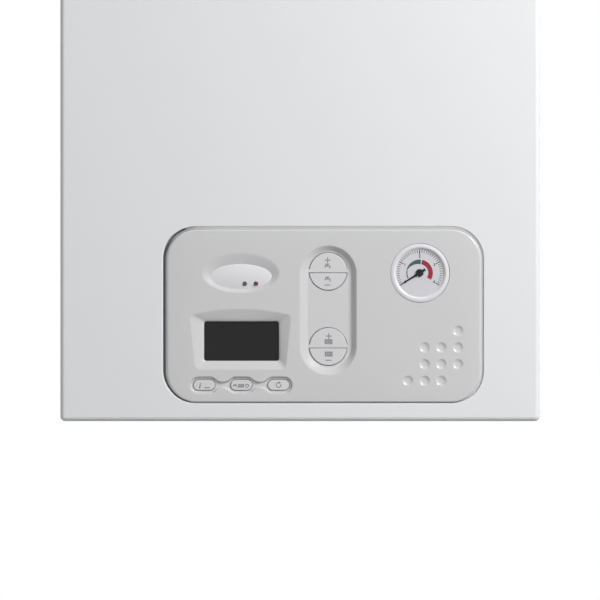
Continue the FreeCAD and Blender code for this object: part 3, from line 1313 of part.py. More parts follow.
def electrodes():
    """Ignition and sensing electrodes: ceramic bodies with wire tips."""
    front = COMBUSTION_Y - COMBUSTION_DEPTH / 2
    z = FLOOR_Z + ELECTRODE_LIFT
    pieces = []
    for x in electrode_places():
        body_end = Vector(x, front + ELECTRODE_INSIDE, z)
        body = rod(ELECTRODE_RADIUS, Vector(x, front - ELECTRODE_OUTSIDE, z), body_end)
        pieces.append(joined([body, rod(ELECTRODE_TIP_RADIUS, body_end, body_end + BACK * ELECTRODE_TIP)]))
    return Part.makeCompound(pieces)


def tube_y(index):
    """Y place of an exchanger tube, counted from the front."""
    return COMBUSTION_Y + TUBE_PITCH * (index - (TUBE_COUNT - 1) / 2)


def serpentine(left, right):
    """One continuous tube through the fins, from its right stub in front to its left stub at the rear."""
    turn = TUBE_LAND + TUBE_PITCH / 2
    points = [Vector(right + TUBE_STUB, tube_y(0), TUBE_Z)]
    for index in range(TUBE_COUNT - 1):
        x = left - turn if index % 2 == 0 else right + turn
        points += [Vector(x, tube_y(index), TUBE_Z), Vector(x, tube_y(index + 1), TUBE_Z)]
    points.append(Vector(left - TUBE_STUB, tube_y(TUBE_COUNT - 1), TUBE_Z))
    return bent_rod(points, TUBE_PITCH / 2, TUBE_RADIUS)


def heat_exchanger():
    """Finned copper block: a sheet frame, and fins on a tube that runs to and fro between its ends."""
    x, y = combustion_limits(0)
    inner_x, inner_y = combustion_limits(EXCHANGER_SHEET)
    z = (COMBUSTION_TOP, EXCHANGER_TOP)
    frame = block(x, y, z).cut(block(inner_x, inner_y, (z[0] - OVERRUN, z[1] + OVERRUN)))
    fin_pitch = (inner_x[1] - inner_x[0]) / (FIN_COUNT + 1)
    fin_y = (inner_y[0] + FIN_MARGIN, inner_y[1] - FIN_MARGIN)
    fin_z = (z[0] + FIN_MARGIN, z[1] - FIN_MARGIN)
    pieces = [frame]
    for index in range(FIN_COUNT):
        fin_x = inner_x[0] + fin_pitch * (index + 1)
        pieces.append(block((fin_x - FIN_THICKNESS / 2, fin_x + FIN_THICKNESS / 2), fin_y, fin_z))
    pieces.append(serpentine(*x))
    return joined(pieces)


def hood_void(inset):
    """Flue hood as a solid: a tapering lower part and an upright duct, drawn in by an inset."""
    x, y = combustion_limits(inset)
    half = FAN_INLET_RADIUS + HOOD_DUCT_MARGIN - inset
    duct_x = (FAN_X - half, FAN_X + half)
    duct_y = (SCROLL_REAR_Y + inset, SCROLL_REAR_Y + HOOD_DUCT_DEPTH - inset)
    shoulder = EXCHANGER_TOP + HOOD_SHOULDER
    taper = Part.makeLoft([level_rectangle(x, y, EXCHANGER_TOP),
                           level_rectangle(duct_x, duct_y, shoulder)], True, True)
    return joined([taper, block(duct_x, duct_y, (shoulder, FAN_Z + half))])


def flue_hood():
    """Sheet hood that gathers the flue gas and feeds the fan from behind."""
    hood = hood_void(0).cut(hood_void(HOOD_SHEET))
    inlet = Vector(FAN_X, SCROLL_REAR_Y - OVERRUN, FAN_Z)
    return hood.cut(rod(FAN_INLET_RADIUS, inlet, inlet + BACK * (HOOD_SHEET + 2 * OVERRUN)))


def scroll(inset, front, rear, top):
    """Fan scroll as a solid: three quarter arcs of growing radius and a straight outlet."""
    radii = [SCROLL_RADIUS + SCROLL_GROWTH * step - inset for step in range(3)]
    first = Vector(FAN_X, front, FAN_Z)
    second = first + RIGHT * SCROLL_GROWTH
    third = second + UP * SCROLL_GROWTH
    start, left = first + UP * radii[0], first - RIGHT * radii[0]
    foot, right = second - UP * radii[1], third + RIGHT * radii[2]
    slant = math.sqrt(2) / 2
    arcs = [Part.Arc(start, first + (UP - RIGHT) * (radii[0] * slant), left),
            Part.Arc(left, second - (UP + RIGHT) * (radii[1] * slant), foot),
            Part.Arc(foot, third + (RIGHT - UP) * (radii[2] * slant), right)]
    wall_x = FAN_X + inset
    corners = [right, Vector(right.x, front, top), Vector(wall_x, front, top),
               Vector(wall_x, front, start.z), start]
    lines = [Part.LineSegment(a, b) for a,
             b in zip(corners, corners[1:]) if a.distanceToPoint(b) > SAME_POINT]
    outline = Part.Wire([piece.toShape() for piece in arcs + lines])
    return Part.Face(outline).extrude(BACK * (rear - front))


def fan_housing():
    """Scroll housing of the flue fan, with an outlet plate for the flue pipe."""
    body = scroll(0, SCROLL_FRONT_Y, SCROLL_REAR_Y, OUTLET_TOP_Z)
    body = body.cut(scroll(SCROLL_WALL, SCROLL_FRONT_Y + SCROLL_WALL, SCROLL_REAR_Y - SCROLL_WALL,
                           OUTLET_TOP_Z + OVERRUN))
    half_x, half_y = FAN_OUTLET / 2 + SCROLL_PLATE_MARGIN, SCROLL_DEPTH / 2 + SCROLL_PLATE_MARGIN
    lid = block((-half_x, half_x), (FLUE_Y - half_y, FLUE_Y + half_y),
                (OUTLET_TOP_Z, OUTLET_TOP_Z + SCROLL_WALL))
    outlet = Vector(0, FLUE_Y, OUTLET_TOP_Z)
    housing = joined([body, lid]).cut(rod(FLUE_RADIUS, outlet - UP * OVERRUN,
                                          outlet + UP * (SCROLL_WALL + OVERRUN)))
    inlet = Vector(FAN_X, SCROLL_REAR_Y, FAN_Z)
    housing = housing.cut(rod(FAN_INLET_RADIUS, inlet - BACK * (SCROLL_WALL + OVERRUN),
                              inlet + BACK * OVERRUN))
    shaft = Vector(FAN_X, SCROLL_FRONT_Y, FAN_Z)
    return housing.cut(rod(FAN_SHAFT_RADIUS + FIT_GAP, shaft - BACK * OVERRUN,
                           shaft + BACK * (SCROLL_WALL + OVERRUN)))


def fan_impeller():
    """Drum wheel with forward-set blades, a hub and the motor shaft."""
    disc_y = FLUE_Y - FAN_WHEEL_WIDTH / 2
    ring_y = FLUE_Y + FAN_WHEEL_WIDTH / 2
    centre = Vector(FAN_X, disc_y, FAN_Z)
    disc = rod(FAN_WHEEL_RADIUS, centre, centre + BACK * FAN_WHEEL_SHEET)
    ring_centre = Vector(FAN_X, ring_y, FAN_Z)
    ring = rod(FAN_WHEEL_RADIUS, ring_centre - BACK * FAN_WHEEL_SHEET, ring_centre)
    ring = ring.cut(rod(FAN_WHEEL_RADIUS - FAN_BLADE_DEPTH,
                        ring_centre - BACK * (FAN_WHEEL_SHEET + OVERRUN), ring_centre + BACK * OVERRUN))
    mid_radius = FAN_WHEEL_RADIUS - FAN_BLADE_DEPTH / 2
    blades = []
    for index in range(FAN_BLADE_COUNT):
        half = FAN_BLADE_THICKNESS / 2
        blade = block((-half, half), (disc_y, ring_y), (-FAN_BLADE_DEPTH / 2, FAN_BLADE_DEPTH / 2))
        blade.rotate(Vector(0, 0, 0), BACK, FAN_BLADE_ANGLE)
        blade.translate(Vector(FAN_X, 0, FAN_Z + mid_radius))
        blades.append(blade.rotate(centre, BACK, 360 * index / FAN_BLADE_COUNT))
    hub = rod(FAN_HUB_RADIUS, centre, centre + BACK * FAN_HUB_LENGTH)
    shaft = rod(FAN_SHAFT_RADIUS, centre - BACK * FAN_SHAFT_LENGTH, centre)
    return joined([disc, ring, hub, shaft] + blades)


def fan_motor():
    """Fan motor on the scroll's front, with a bore for the wheel's shaft."""
    end = FAN_MOTOR_LENGTH + FAN_MOTOR_CAP_LENGTH
    profile = [(0, 0), (FAN_MOTOR_RADIUS, 0), (FAN_MOTOR_RADIUS, FAN_MOTOR_LENGTH),
               (FAN_MOTOR_CAP_RADIUS, FAN_MOTOR_LENGTH),
               (FAN_MOTOR_CAP_RADIUS, end), (0, end)]
    face = Vector(FAN_X, SCROLL_FRONT_Y, FAN_Z)
    motor = turned(profile, [0, 0, FAN_MOTOR_CAP_LENGTH, 0, FAN_MOTOR_CAP_LENGTH / 2, 0], face, -BACK)
    return motor.cut(rod(FAN_SHAFT_RADIUS + RUNNING_GAP, face + BACK * OVERRUN,
                         face - BACK * FAN_SHAFT_LENGTH))


def vessel_drum(inset):
    """Flat round drum with rounded edges, drawn in by an inset."""
    radius, rear, front = VESSEL_RADIUS - inset, inset, VESSEL_DEPTH - inset
    profile = [(0, rear), (radius, rear), (radius, front), (0, front)]
    rounding = VESSEL_ROUND - inset
    return turned(profile, [0, rounding, rounding, 0], Vector(0, -RIB_RADIUS - FIT_GAP, VESSEL_Z), -BACK)


def expansion_vessel():
    """Hollow expansion vessel against the frame's ribs, with a rolled seam."""
    middle = Vector(0, -RIB_RADIUS - FIT_GAP - VESSEL_DEPTH / 2, VESSEL_Z)
    half_seam = BACK * (VESSEL_SEAM_WIDTH / 2)
    seam = rod(VESSEL_RADIUS + VESSEL_SEAM, middle - half_seam, middle + half_seam)
    return joined([vessel_drum(0), seam]).cut(vessel_drum(VESSEL_WALL))


def threaded_end(x, radius, top):
    """Connection under the bottom plate: plain thread cylinder and a six-sided collar against the plate."""
    thread = rod(radius, Vector(x, CONNECTION_Y, THREAD_END), Vector(x, CONNECTION_Y, top))
    collar = hexagon(radius + HEX_MARGIN, x, CONNECTION_Y, BOTTOM_PLATE_HEIGHT - HEX_HEIGHT,
                     BOTTOM_PLATE_HEIGHT)
    return [thread, collar]


def bored(solid, x, radius, top):
    """The same connection with its water or gas way open at the lower end."""
    low = Vector(x, CONNECTION_Y, THREAD_END - OVERRUN)
    return solid.cut(rod(radius, low, Vector(x, CONNECTION_Y, top)))


def water_pipe(x):
    """Copper pipe from a lower port of the plate exchanger down to its threaded end."""
    route = [Vector(x, PORT_FACE_Y, PORT_LOW_Z), Vector(x, CONNECTION_Y, PORT_LOW_Z),
             Vector(x, CONNECTION_Y, BARREL_LOW)]
    end = threaded_end(x, NARROW_THREAD_RADIUS, BARREL_LOW)
    pipe = joined([bent_rod(route, PIPE_BEND, PIPE_RADIUS)] + end)
    bore = bent_rod(route, PIPE_BEND, PIPE_RADIUS - PIPE_WALL)
    return bored(pipe, x, PIPE_RADIUS - PIPE_WALL, BARREL_LOW).cut(bore)


def hot_water_pipe():
    """Hot water outlet."""
    return water_pipe(-WATER_X)


def cold_water_pipe():
    """Cold water inlet."""
    return water_pipe(WATER_X)


def plate_exchanger():
    """Stack of brazed plates with four ports on its front."""
    pitch = PLATES_DEPTH / PLATE_COUNT
    groove = pitch * PLATE_GROOVE_SHARE
    pieces = [front_plate(0, PLATES_Z, PLATES_WIDTH - 2 * PLATE_STEP, PLATES_HEIGHT - 2 * PLATE_STEP,
                          PLATES_CORNER - PLATE_STEP, PLATES_FRONT_Y, -PLATES_BACK)]
    for index in range(PLATE_COUNT):
        front = PLATES_FRONT_Y + pitch * index
        pieces.append(front_plate(0, PLATES_Z, PLATES_WIDTH, PLATES_HEIGHT, PLATES_CORNER, front,
                                  front + pitch - groove))
    ports = [(-PORT_X, PORT_HIGH_Z), (PORT_X, PORT_HIGH_Z), (-WATER_X, PORT_LOW_Z), (WATER_X, PORT_LOW_Z)]
    pieces += [rod(PORT_RADIUS, Vector(x, PORT_FACE_Y, z), Vector(x, PLATES_FRONT_Y, z)) for x, z in ports]
    return joined(pieces)


def valve_block(side, top):
    """Brass block on one side: a level arm to the plate exchanger, an upright barrel and its thread."""
    x = side * (BLOCK_INNER_X + BLOCK_OUTER_X) / 2
    arm = front_plate(x, PORT_HIGH_Z, BLOCK_OUTER_X - BLOCK_INNER_X, BLOCK_HEIGHT, BLOCK_ROUND,
                      BLOCK_FRONT_Y, PORT_FACE_Y)
    barrel_x = side * HEATING_X
    barrel = rod(BARREL_RADIUS, Vector(barrel_x, CONNECTION_Y, BARREL_LOW),
                 Vector(barrel_x, CONNECTION_Y, top))
    solid = joined([arm, barrel] + threaded_end(barrel_x, WIDE_THREAD_RADIUS, BARREL_LOW))
    return bored(solid, barrel_x, PIPE_RADIUS - PIPE_WALL, top + OVERRUN)


def diverter_valve():
    """Flow block with the bore of the diverter stem."""
    body = valve_block(-1, DIVERTER_TOP)
    front = Vector(DIVERTER_X, BLOCK_FRONT_Y, PORT_HIGH_Z)
    return body.cut(rod(STEM_RADIUS + RUNNING_GAP, front - BACK * OVERRUN, front + BACK * STEM_BORE))


def diverter_stem():
    """Stem that sends the flow to heating or to hot water."""
    end = Vector(DIVERTER_X, BLOCK_FRONT_Y + STEM_INSIDE, PORT_HIGH_Z)
    return rod(STEM_RADIUS, end - BACK * STEM_LENGTH, end)


def diverter_motor():
    """Actuator on the flow block's front, hollow where the stem moves."""
    rear = BLOCK_FRONT_Y
    head = front_plate(DIVERTER_X, PORT_HIGH_Z, ACTUATOR_WIDTH, ACTUATOR_HEIGHT, ACTUATOR_ROUND,
                       rear - ACTUATOR_DEPTH, rear)
    depth = STEM_LENGTH - STEM_INSIDE + STEM_HEAD_ROOM
    mouth = Vector(DIVERTER_X, rear, PORT_HIGH_Z)
    return head.cut(rod(STEM_RADIUS + STEM_FREE_GAP, mouth + BACK * OVERRUN, mouth - BACK * depth))


def return_manifold():
    """Return block with the bore of the filling tap's spindle."""
    body = valve_block(1, RETURN_TOP)
    low = Vector(TAP_X, TAP_Y, BLOCK_LOW_Z)
    return body.cut(rod(TAP_SPINDLE_RADIUS + RUNNING_GAP, low - UP * OVERRUN,
                        low + UP * (TAP_SPINDLE_DEPTH + OVERRUN)))


def filling_tap_knob():
    """Fluted knob under the boiler, with the spindle that turns in the return block."""
    centre = Vector(TAP_X, TAP_Y, TAP_KNOB_LOW)
    knob = turned([(0, 0), (TAP_KNOB_RADIUS, 0), (TAP_KNOB_RADIUS, TAP_KNOB_HEIGHT), (0, TAP_KNOB_HEIGHT)],
                  [0, TAP_KNOB_ROUND, TAP_KNOB_ROUND, 0], centre, UP)
    ring = TAP_KNOB_RADIUS + TAP_FLUTE_RADIUS - TAP_FLUTE_DEPTH
    for index in range(TAP_FLUTE_COUNT):
        angle = 2 * math.pi * index / TAP_FLUTE_COUNT
        place = centre + Vector(ring * math.cos(angle), ring * math.sin(angle), 0)
        knob = knob.cut(rod(TAP_FLUTE_RADIUS, place - UP * OVERRUN, place + UP * (TAP_KNOB_HEIGHT + OVERRUN)))
    return joined([knob,
                   rod(TAP_SPINDLE_RADIUS, centre, Vector(TAP_X, TAP_Y, BLOCK_LOW_Z + TAP_SPINDLE_DEPTH))])


def pump_body():
    """Pump casing, open towards its motor, between the return block and the return pipe."""
    rear = Vector(HEATING_X, PUMP_FRONT_Y + PUMP_DEPTH, PUMP_Z)
    front = Vector(HEATING_X, PUMP_FRONT_Y, PUMP_Z)
    neck = rod(PUMP_NECK_RADIUS, Vector(HEATING_X, CONNECTION_Y, RETURN_TOP),
               Vector(HEATING_X, CONNECTION_Y, PUMP_TOP))
    body = joined([rod(PUMP_RADIUS, front, rear), neck])
    body = body.cut(rod(PUMP_RADIUS - PUMP_WALL, front - BACK * OVERRUN, rear - BACK * PUMP_WALL))
    return bored(body, HEATING_X, PIPE_RADIUS - PIPE_WALL, PUMP_TOP + OVERRUN)


def pump_impeller():
    """Pump wheel: a disc with upright vanes and the motor shaft."""
    disc_front = Vector(HEATING_X, PUMP_FRONT_Y + PUMP_WALL, PUMP_Z)
    disc_rear = disc_front + BACK * PUMP_WHEEL_THICKNESS
    pieces = [rod(PUMP_WHEEL_RADIUS, disc_front, disc_rear),
              rod(PUMP_SHAFT_RADIUS, disc_front - BACK * PUMP_SHAFT_LENGTH,
                  disc_rear + BACK * PUMP_VANE_HEIGHT)]
    for index in range(PUMP_VANE_COUNT):
        half = PUMP_VANE_THICKNESS / 2
        vane = block((disc_rear.x - half, disc_rear.x + half), (disc_rear.y, disc_rear.y + PUMP_VANE_HEIGHT),
                     (PUMP_Z, PUMP_Z + PUMP_WHEEL_RADIUS - PUMP_VANE_THICKNESS))
        pieces.append(vane.rotate(disc_rear, BACK, 360 * index / PUMP_VANE_COUNT))
    return joined(pieces)


def pump_motor():
    """Pump motor with a bore for the wheel's shaft and a vent plug in its front."""
    end = PUMP_MOTOR_LENGTH
    profile = [(0, 0), (PUMP_MOTOR_RADIUS, 0), (PUMP_MOTOR_RADIUS, end), (PUMP_PLUG_RADIUS, end),
               (PUMP_PLUG_RADIUS, end + PUMP_PLUG_HEIGHT), (0, end + PUMP_PLUG_HEIGHT)]
    face = Vector(HEATING_X, PUMP_FRONT_Y, PUMP_Z)
    motor = turned(profile, [0, 0, PUMP_MOTOR_ROUND, 0, 0, 0], face, -BACK)
    return motor.cut(rod(PUMP_SHAFT_RADIUS + RUNNING_GAP, face + BACK * OVERRUN,
                         face - BACK * PUMP_SHAFT_LENGTH))


def safety_valve():
    """Safety valve on the return block, with a discharge tail through the bottom plate."""
    seat = Vector(SAFETY_X, BLOCK_FRONT_Y, PORT_HIGH_Z)
    cap_start = seat - BACK * SAFETY_LENGTH
    cap = turned([(0, 0), (SAFETY_CAP_RADIUS, 0), (SAFETY_CAP_RADIUS, SAFETY_CAP_LENGTH),
                  (0, SAFETY_CAP_LENGTH)],
                 [0, SAFETY_CAP_ROUND, SAFETY_CAP_ROUND, 0], cap_start, -BACK)
    tail_top = seat - BACK * (SAFETY_LENGTH / 2)
    tail = rod(SAFETY_TAIL_RADIUS, Vector(SAFETY_X, tail_top.y, THREAD_END), tail_top)
    solid = joined([rod(SAFETY_RADIUS, seat, cap_start), cap, tail])
    return solid.cut(rod(SAFETY_TAIL_RADIUS - PIPE_WALL,
                         Vector(SAFETY_X, tail_top.y, THREAD_END - OVERRUN), tail_top))


def gas_valve():
    """Gas valve body with its inlet thread, outlet boss and two coils."""
    rear = CONNECTION_Y + GAS_VALVE_DEPTH / 2
    front = rear - GAS_VALVE_DEPTH
    middle = GAS_VALVE_LOW + GAS_VALVE_HEIGHT / 2
    body = front_plate(0, middle, GAS_VALVE_WIDTH, GAS_VALVE_HEIGHT, GAS_VALVE_ROUND, front, rear)
    boss = rod(GAS_BOSS_RADIUS, Vector(0, CONNECTION_Y, middle), Vector(0, CONNECTION_Y, GAS_TOP))
    coils = []
    for z in (middle - GAS_COIL_SPREAD / 2, middle + GAS_COIL_SPREAD / 2):
        coils.append(rod(GAS_COIL_RADIUS, Vector(0, front - GAS_COIL_LENGTH, z), Vector(0, front, z)))
    solid = joined([body, boss] + coils + threaded_end(0, WIDE_THREAD_RADIUS, GAS_VALVE_LOW))
    return bored(solid, 0, PIPE_RADIUS - PIPE_WALL, GAS_VALVE_LOW)


def gas_pipe():
    """Gas pipe from the valve up to the manifold."""
    low, high = Vector(0, CONNECTION_Y, GAS_TOP), Vector(0, CONNECTION_Y, MANIFOLD_Z - SOCKET_LENGTH)
    return rod(PIPE_RADIUS, low, high).cut(rod(PIPE_RADIUS - PIPE_WALL, low, high))


def flow_pipe():
    """Copper pipe from the finned exchanger down to the flow block."""
    y = tube_y(TUBE_COUNT - 1)
    start = -COMBUSTION_WIDTH / 2 - TUBE_STUB
    route = [Vector(start, y, TUBE_Z), Vector(-PIPE_RISER_X, y, TUBE_Z),
             Vector(-PIPE_RISER_X, y, PIPE_JOG_HIGH),
             Vector(-HEATING_X, CONNECTION_Y, PIPE_JOG_LOW), Vector(-HEATING_X, CONNECTION_Y, DIVERTER_TOP)]
    return bent_tube(route, TUBE_BEND, PIPE_RADIUS, PIPE_WALL)


def return_pipe():
    """Copper pipe from the pump up to the finned exchanger."""
    y = tube_y(0)
    level = (PUMP_TOP + CHAMBER_FLOOR) / 2
    start = COMBUSTION_WIDTH / 2 + TUBE_STUB
    route = [Vector(HEATING_X, CONNECTION_Y, PUMP_TOP), Vector(HEATING_X, CONNECTION_Y, level),
             Vector(PIPE_RISER_X, y, level),
             Vector(PIPE_RISER_X, y, TUBE_Z), Vector(start, y, TUBE_Z)]
    return bent_tube(route, TUBE_BEND, PIPE_RADIUS, PIPE_WALL)


def cable_gland():
    """Cable gland in the bottom plate: nut against the plate, domed seal and threaded stem."""
    dome_top = GLAND_NUT_HEIGHT + GLAND_DOME
    profile = [(GLAND_BORE_RADIUS, -GLAND_STEM), (GLAND_RADIUS, -GLAND_STEM), (GLAND_RADIUS, dome_top),
               (GLAND_BORE_RADIUS, dome_top)]
    barrel = turned(profile, [0, 0, GLAND_BORE_RADIUS / 2, 0],
                    Vector(GLAND_X, GLAND_Y, BOTTOM_PLATE_HEIGHT), -UP)
    nut = hexagon(GLAND_NUT_RADIUS, GLAND_X, GLAND_Y, BOTTOM_PLATE_HEIGHT - GLAND_NUT_HEIGHT,
                  BOTTOM_PLATE_HEIGHT)
    nut = nut.cut(rod(GLAND_RADIUS, Vector(GLAND_X, GLAND_Y, 0), Vector(GLAND_X, GLAND_Y, CASING_HEIGHT)))
    return joined([barrel, nut])


PIECES = (front_casing, left_side_panel, right_side_panel, rear_frame, top_plate, bottom_plate, casing_screws,
          air_collar, flue_outlet_pipe, control_fascia, badge_lens, green_led, red_led, display_window,
          display_module, hot_water_plus_button, hot_water_minus_button, heating_plus_button,
          heating_minus_button, info_button, mode_button, reset_button, key_switches, control_board,
          control_box_cover, gauge_case, gauge_dial, gauge_pointer, gauge_lens, gauge_capillary,
          sealed_chamber, chamber_cover, combustion_box, insulation_panels, burner, gas_manifold, electrodes,
          heat_exchanger, flue_hood, fan_housing, fan_impeller, fan_motor, expansion_vessel, hot_water_pipe,
          cold_water_pipe, plate_exchanger, diverter_valve, diverter_stem, diverter_motor, return_manifold,
          filling_tap_knob, pump_body, pump_impeller, pump_motor, safety_valve, gas_valve, gas_pipe, flow_pipe,
          return_pipe, cable_gland)

os.makedirs("parts", exist_ok=True)
for piece in PIECES:
    piece().exportStep("parts/" + piece.__name__ + ".step")
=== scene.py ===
# %% [markdown]
# # A wall-hung gas boiler
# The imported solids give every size. This lesson dresses them: it moulds the control fascia again with soft
# edges, prints the gauge and the keys, cuts threads on the connections and gives each finish its grain.
# Blender works in metres here, and the panel's own sizes are written in millimetres.

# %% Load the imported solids
import json
import math

import bmesh
import bpy
import numpy as np
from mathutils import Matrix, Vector
from mathutils.geometry import delaunay_2d_cdt


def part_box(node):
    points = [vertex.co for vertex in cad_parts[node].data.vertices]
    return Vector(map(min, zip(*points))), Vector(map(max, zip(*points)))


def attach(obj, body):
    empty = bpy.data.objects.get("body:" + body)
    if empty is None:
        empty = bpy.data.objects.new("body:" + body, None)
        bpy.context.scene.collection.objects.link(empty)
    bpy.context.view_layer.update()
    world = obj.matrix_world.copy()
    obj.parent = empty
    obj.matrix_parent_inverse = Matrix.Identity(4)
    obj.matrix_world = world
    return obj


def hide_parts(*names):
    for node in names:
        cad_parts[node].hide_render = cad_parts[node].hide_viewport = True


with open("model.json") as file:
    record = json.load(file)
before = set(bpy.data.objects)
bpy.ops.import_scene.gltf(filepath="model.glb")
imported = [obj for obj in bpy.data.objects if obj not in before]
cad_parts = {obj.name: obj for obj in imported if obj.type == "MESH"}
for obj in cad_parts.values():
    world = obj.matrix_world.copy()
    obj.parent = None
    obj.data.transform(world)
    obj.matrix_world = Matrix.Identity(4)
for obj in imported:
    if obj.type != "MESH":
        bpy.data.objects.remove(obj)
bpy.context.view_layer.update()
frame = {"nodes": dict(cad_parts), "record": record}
nodes = frame["nodes"]
MM = 0.001

# %% [markdown]
# ## Camera
# The picture looks straight at the lower front. A long lens far away keeps the sides of the casing upright,
# as they are in the picture. The picture is 600 pixels wide, and the casing fills 480 of them.

# %% Camera
PICTURE_PIXELS = 600
CASING_PIXELS = 480
RIM_PIXEL = 421.3
CAMERA_REACH = 2.5
SENSOR = 36.0

low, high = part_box("front_casing")
pixel = (high.x - low.x) / CASING_PIXELS
camera_data = bpy.data.cameras.new("camera")
camera_data.sensor_width = SENSOR
camera_data.lens = SENSOR * CAMERA_REACH / (pixel * PICTURE_PIXELS)
camera = bpy.data.objects.new("camera", camera_data)
camera.location = (0, low.y - CAMERA_REACH, low.z + (RIM_PIXEL - PICTURE_PIXELS / 2) * pixel)
camera.rotation_euler = (math.pi / 2, 0, 0)
bpy.context.scene.collection.objects.link(camera)
bpy.context.scene.camera = camera
bpy.context.scene.view_settings.view_transform = "Standard"
print("one pixel is", round(pixel / MM, 4), "mm; lens", round(camera_data.lens, 1))

# %% [markdown]
# ## Shader maths as sentences
# A material is a chain of small sums. Wrapping a socket in a class lets those sums be written as Python
# expressions, and one method makes every other kind of node.


# %% A socket that can do sums
class Signal:
    """One output socket of a node tree. Arithmetic on it adds Math nodes to the same tree."""

    def __init__(self, tree, socket=None):
        self.tree = tree
        self.socket = socket

    def node(self, kind, settings=(), values=(), output=0):
        """Adds a node of a kind, sets it up, feeds its sockets and returns one of its outputs."""
        made = self.tree.nodes.new(kind)
        for name, value in dict(settings).items():
            setattr(made, name, value)
        for name, value in dict(values).items():
            if isinstance(value, Signal):
                self.tree.links.new(value.socket, made.inputs[name])
            else:
                made.inputs[name].default_value = value
        return Signal(self.tree, made.outputs[output] if made.outputs else None)

    def maths(self, operation, *operands):
        """A Math node on numbers or signals."""
        return self.node("ShaderNodeMath", {"operation": operation}, enumerate(operands))

    def __add__(self, other):
        return self.maths("ADD", self, other)

    def __rsub__(self, other):
        return self.maths("SUBTRACT", other, self)

    def __mul__(self, other):
        return self.maths("MULTIPLY", self, other)

    def __pow__(self, other):
        return self.maths("POWER", self, other)

    def step(self, start, end):
        """Goes smoothly from 0 at start to 1 at end."""
        values = {"Value": self, "From Min": start, "From Max": end}
        return self.node("ShaderNodeMapRange", {"interpolation_type": "SMOOTHSTEP"}, values)

    def blend(self, first, second):
        """Mixes two colours by this signal."""
        return self.node("ShaderNodeMix", {"data_type": "RGBA"}, {0: self, 6: first, 7: second}, 2)

    def noise(self, place, scale, detail=2.0):
        """A cloudy pattern between 0 and 1."""
        values = {"Vector": place, "Scale": scale, "Detail": detail}
        return self.node("ShaderNodeTexNoise", values=values)


def page_ray(start):
    """1 for rays that should see a plain white page: those from the camera, and in gloss and glass."""
    seen = {}
    for name in ("Is Camera Ray", "Is Glossy Ray", "Is Transmission Ray"):
        seen[name] = start.node("ShaderNodeLightPath", output=name)
    first, second, third = seen.values()
    return start.maths("MAXIMUM", start.maths("MAXIMUM", first, second), third)


# %% [markdown]
# ## Studio
# The boiler hangs on a wall, so the floor lies well below it and takes a soft shadow. Away from that shadow
# the floor and the sky turn plain white for the camera and for reflections, like a page. The light itself
# comes from a soft box high on the right, with a broad wash of light from the front and a weaker one from
# behind, which keeps the back and the sides readable in other views.

# %% Sky
WASH_STRENGTH = 2.02
REAR_STRENGTH = 0.9
SKY_STRENGTH = 0.12
WASH_FOCUS = 4.0
WHITE = (1, 1, 1, 1)

world = bpy.data.worlds.new("studio")
world.use_nodes = True
world.node_tree.nodes.clear()
sky = Signal(world.node_tree)
page = page_ray(sky)
toward = sky.node("ShaderNodeTexCoord", output="Generated")
dot = {"operation": "DOT_PRODUCT"}
frontness = sky.node("ShaderNodeVectorMath", dot, {0: toward, 1: (0, -1, 0)}, "Value")
wash = sky.maths("MAXIMUM", frontness, 0) ** WASH_FOCUS * WASH_STRENGTH
wash = wash + sky.maths("MAXIMUM", frontness * -1, 0) * REAR_STRENGTH + SKY_STRENGTH
glow = sky.node("ShaderNodeBackground", values={"Color": WHITE, "Strength": page + (1 - page) * wash})
sky.node("ShaderNodeOutputWorld", values={"Surface": glow})
bpy.context.scene.world = world
print("sky nodes:", len(world.node_tree.nodes))

# %% Soft box
KEY_AIM = Vector((0.02, -0.25, 0.1))
KEY_WAY = Vector((0.67, -0.53, 0.53)).normalized()
KEY_DISTANCE = 1.8
KEY_SIZE = 0.5
KEY_POWER = 28.0

key_data = bpy.data.lights.new("soft_box", "AREA")
key_data.energy = KEY_POWER
key_data.size = KEY_SIZE
key_light = bpy.data.objects.new("soft_box", key_data)
key_light.location = KEY_AIM + KEY_WAY * KEY_DISTANCE
key_light.rotation_euler = KEY_WAY.to_track_quat("Z", "Y").to_euler()
key_light.visible_camera = False
bpy.context.scene.collection.objects.link(key_light)
print("soft box at", [round(side, 2) for side in key_light.location])

# %% Floor
FLOOR_Z = -0.6
FLOOR_HALF = 20.0
FLOOR_SHADE = 0.8
PAGE_START = 0.7
PAGE_END = 2.2
PAGE_LEAST = 0.45

corner = np.array([[-1, -1], [1, -1], [1, 1], [-1, 1]]) * FLOOR_HALF
floor_mesh = bpy.data.meshes.new("floor")
floor_mesh.from_pydata([(x, y, FLOOR_Z) for x, y in corner.tolist()], [], [(0, 1, 2, 3)])
floor_finish = bpy.data.materials.new("floor")
floor_finish.use_nodes = True
floor_finish.node_tree.nodes.clear()
ground = Signal(floor_finish.node_tree)
place = ground.node("ShaderNodeTexCoord", output="Object")
away = ground.node("ShaderNodeVectorMath", {"operation": "LENGTH"}, {0: place}, "Value")
near = ground.node("ShaderNodeBsdfDiffuse", values={"Color": (FLOOR_SHADE, FLOOR_SHADE, FLOOR_SHADE, 1)})
far = ground.node("ShaderNodeEmission", values={"Color": WHITE, "Strength": page_ray(ground)})
pale = away.step(PAGE_START, PAGE_END) * (1 - PAGE_LEAST) + PAGE_LEAST
top = ground.node("ShaderNodeMixShader", values={0: pale, 1: near, 2: far})
below = ground.node("ShaderNodeNewGeometry", output="Backfacing")
clear = ground.node("ShaderNodeBsdfTransparent")
both = ground.node("ShaderNodeMixShader", values={0: below, 1: top, 2: clear})
ground.node("ShaderNodeOutputMaterial", values={"Surface": both})
floor_mesh.materials.append(floor_finish)
floor = bpy.data.objects.new("floor", floor_mesh)
bpy.context.scene.collection.objects.link(floor)
print("floor at", FLOOR_Z)

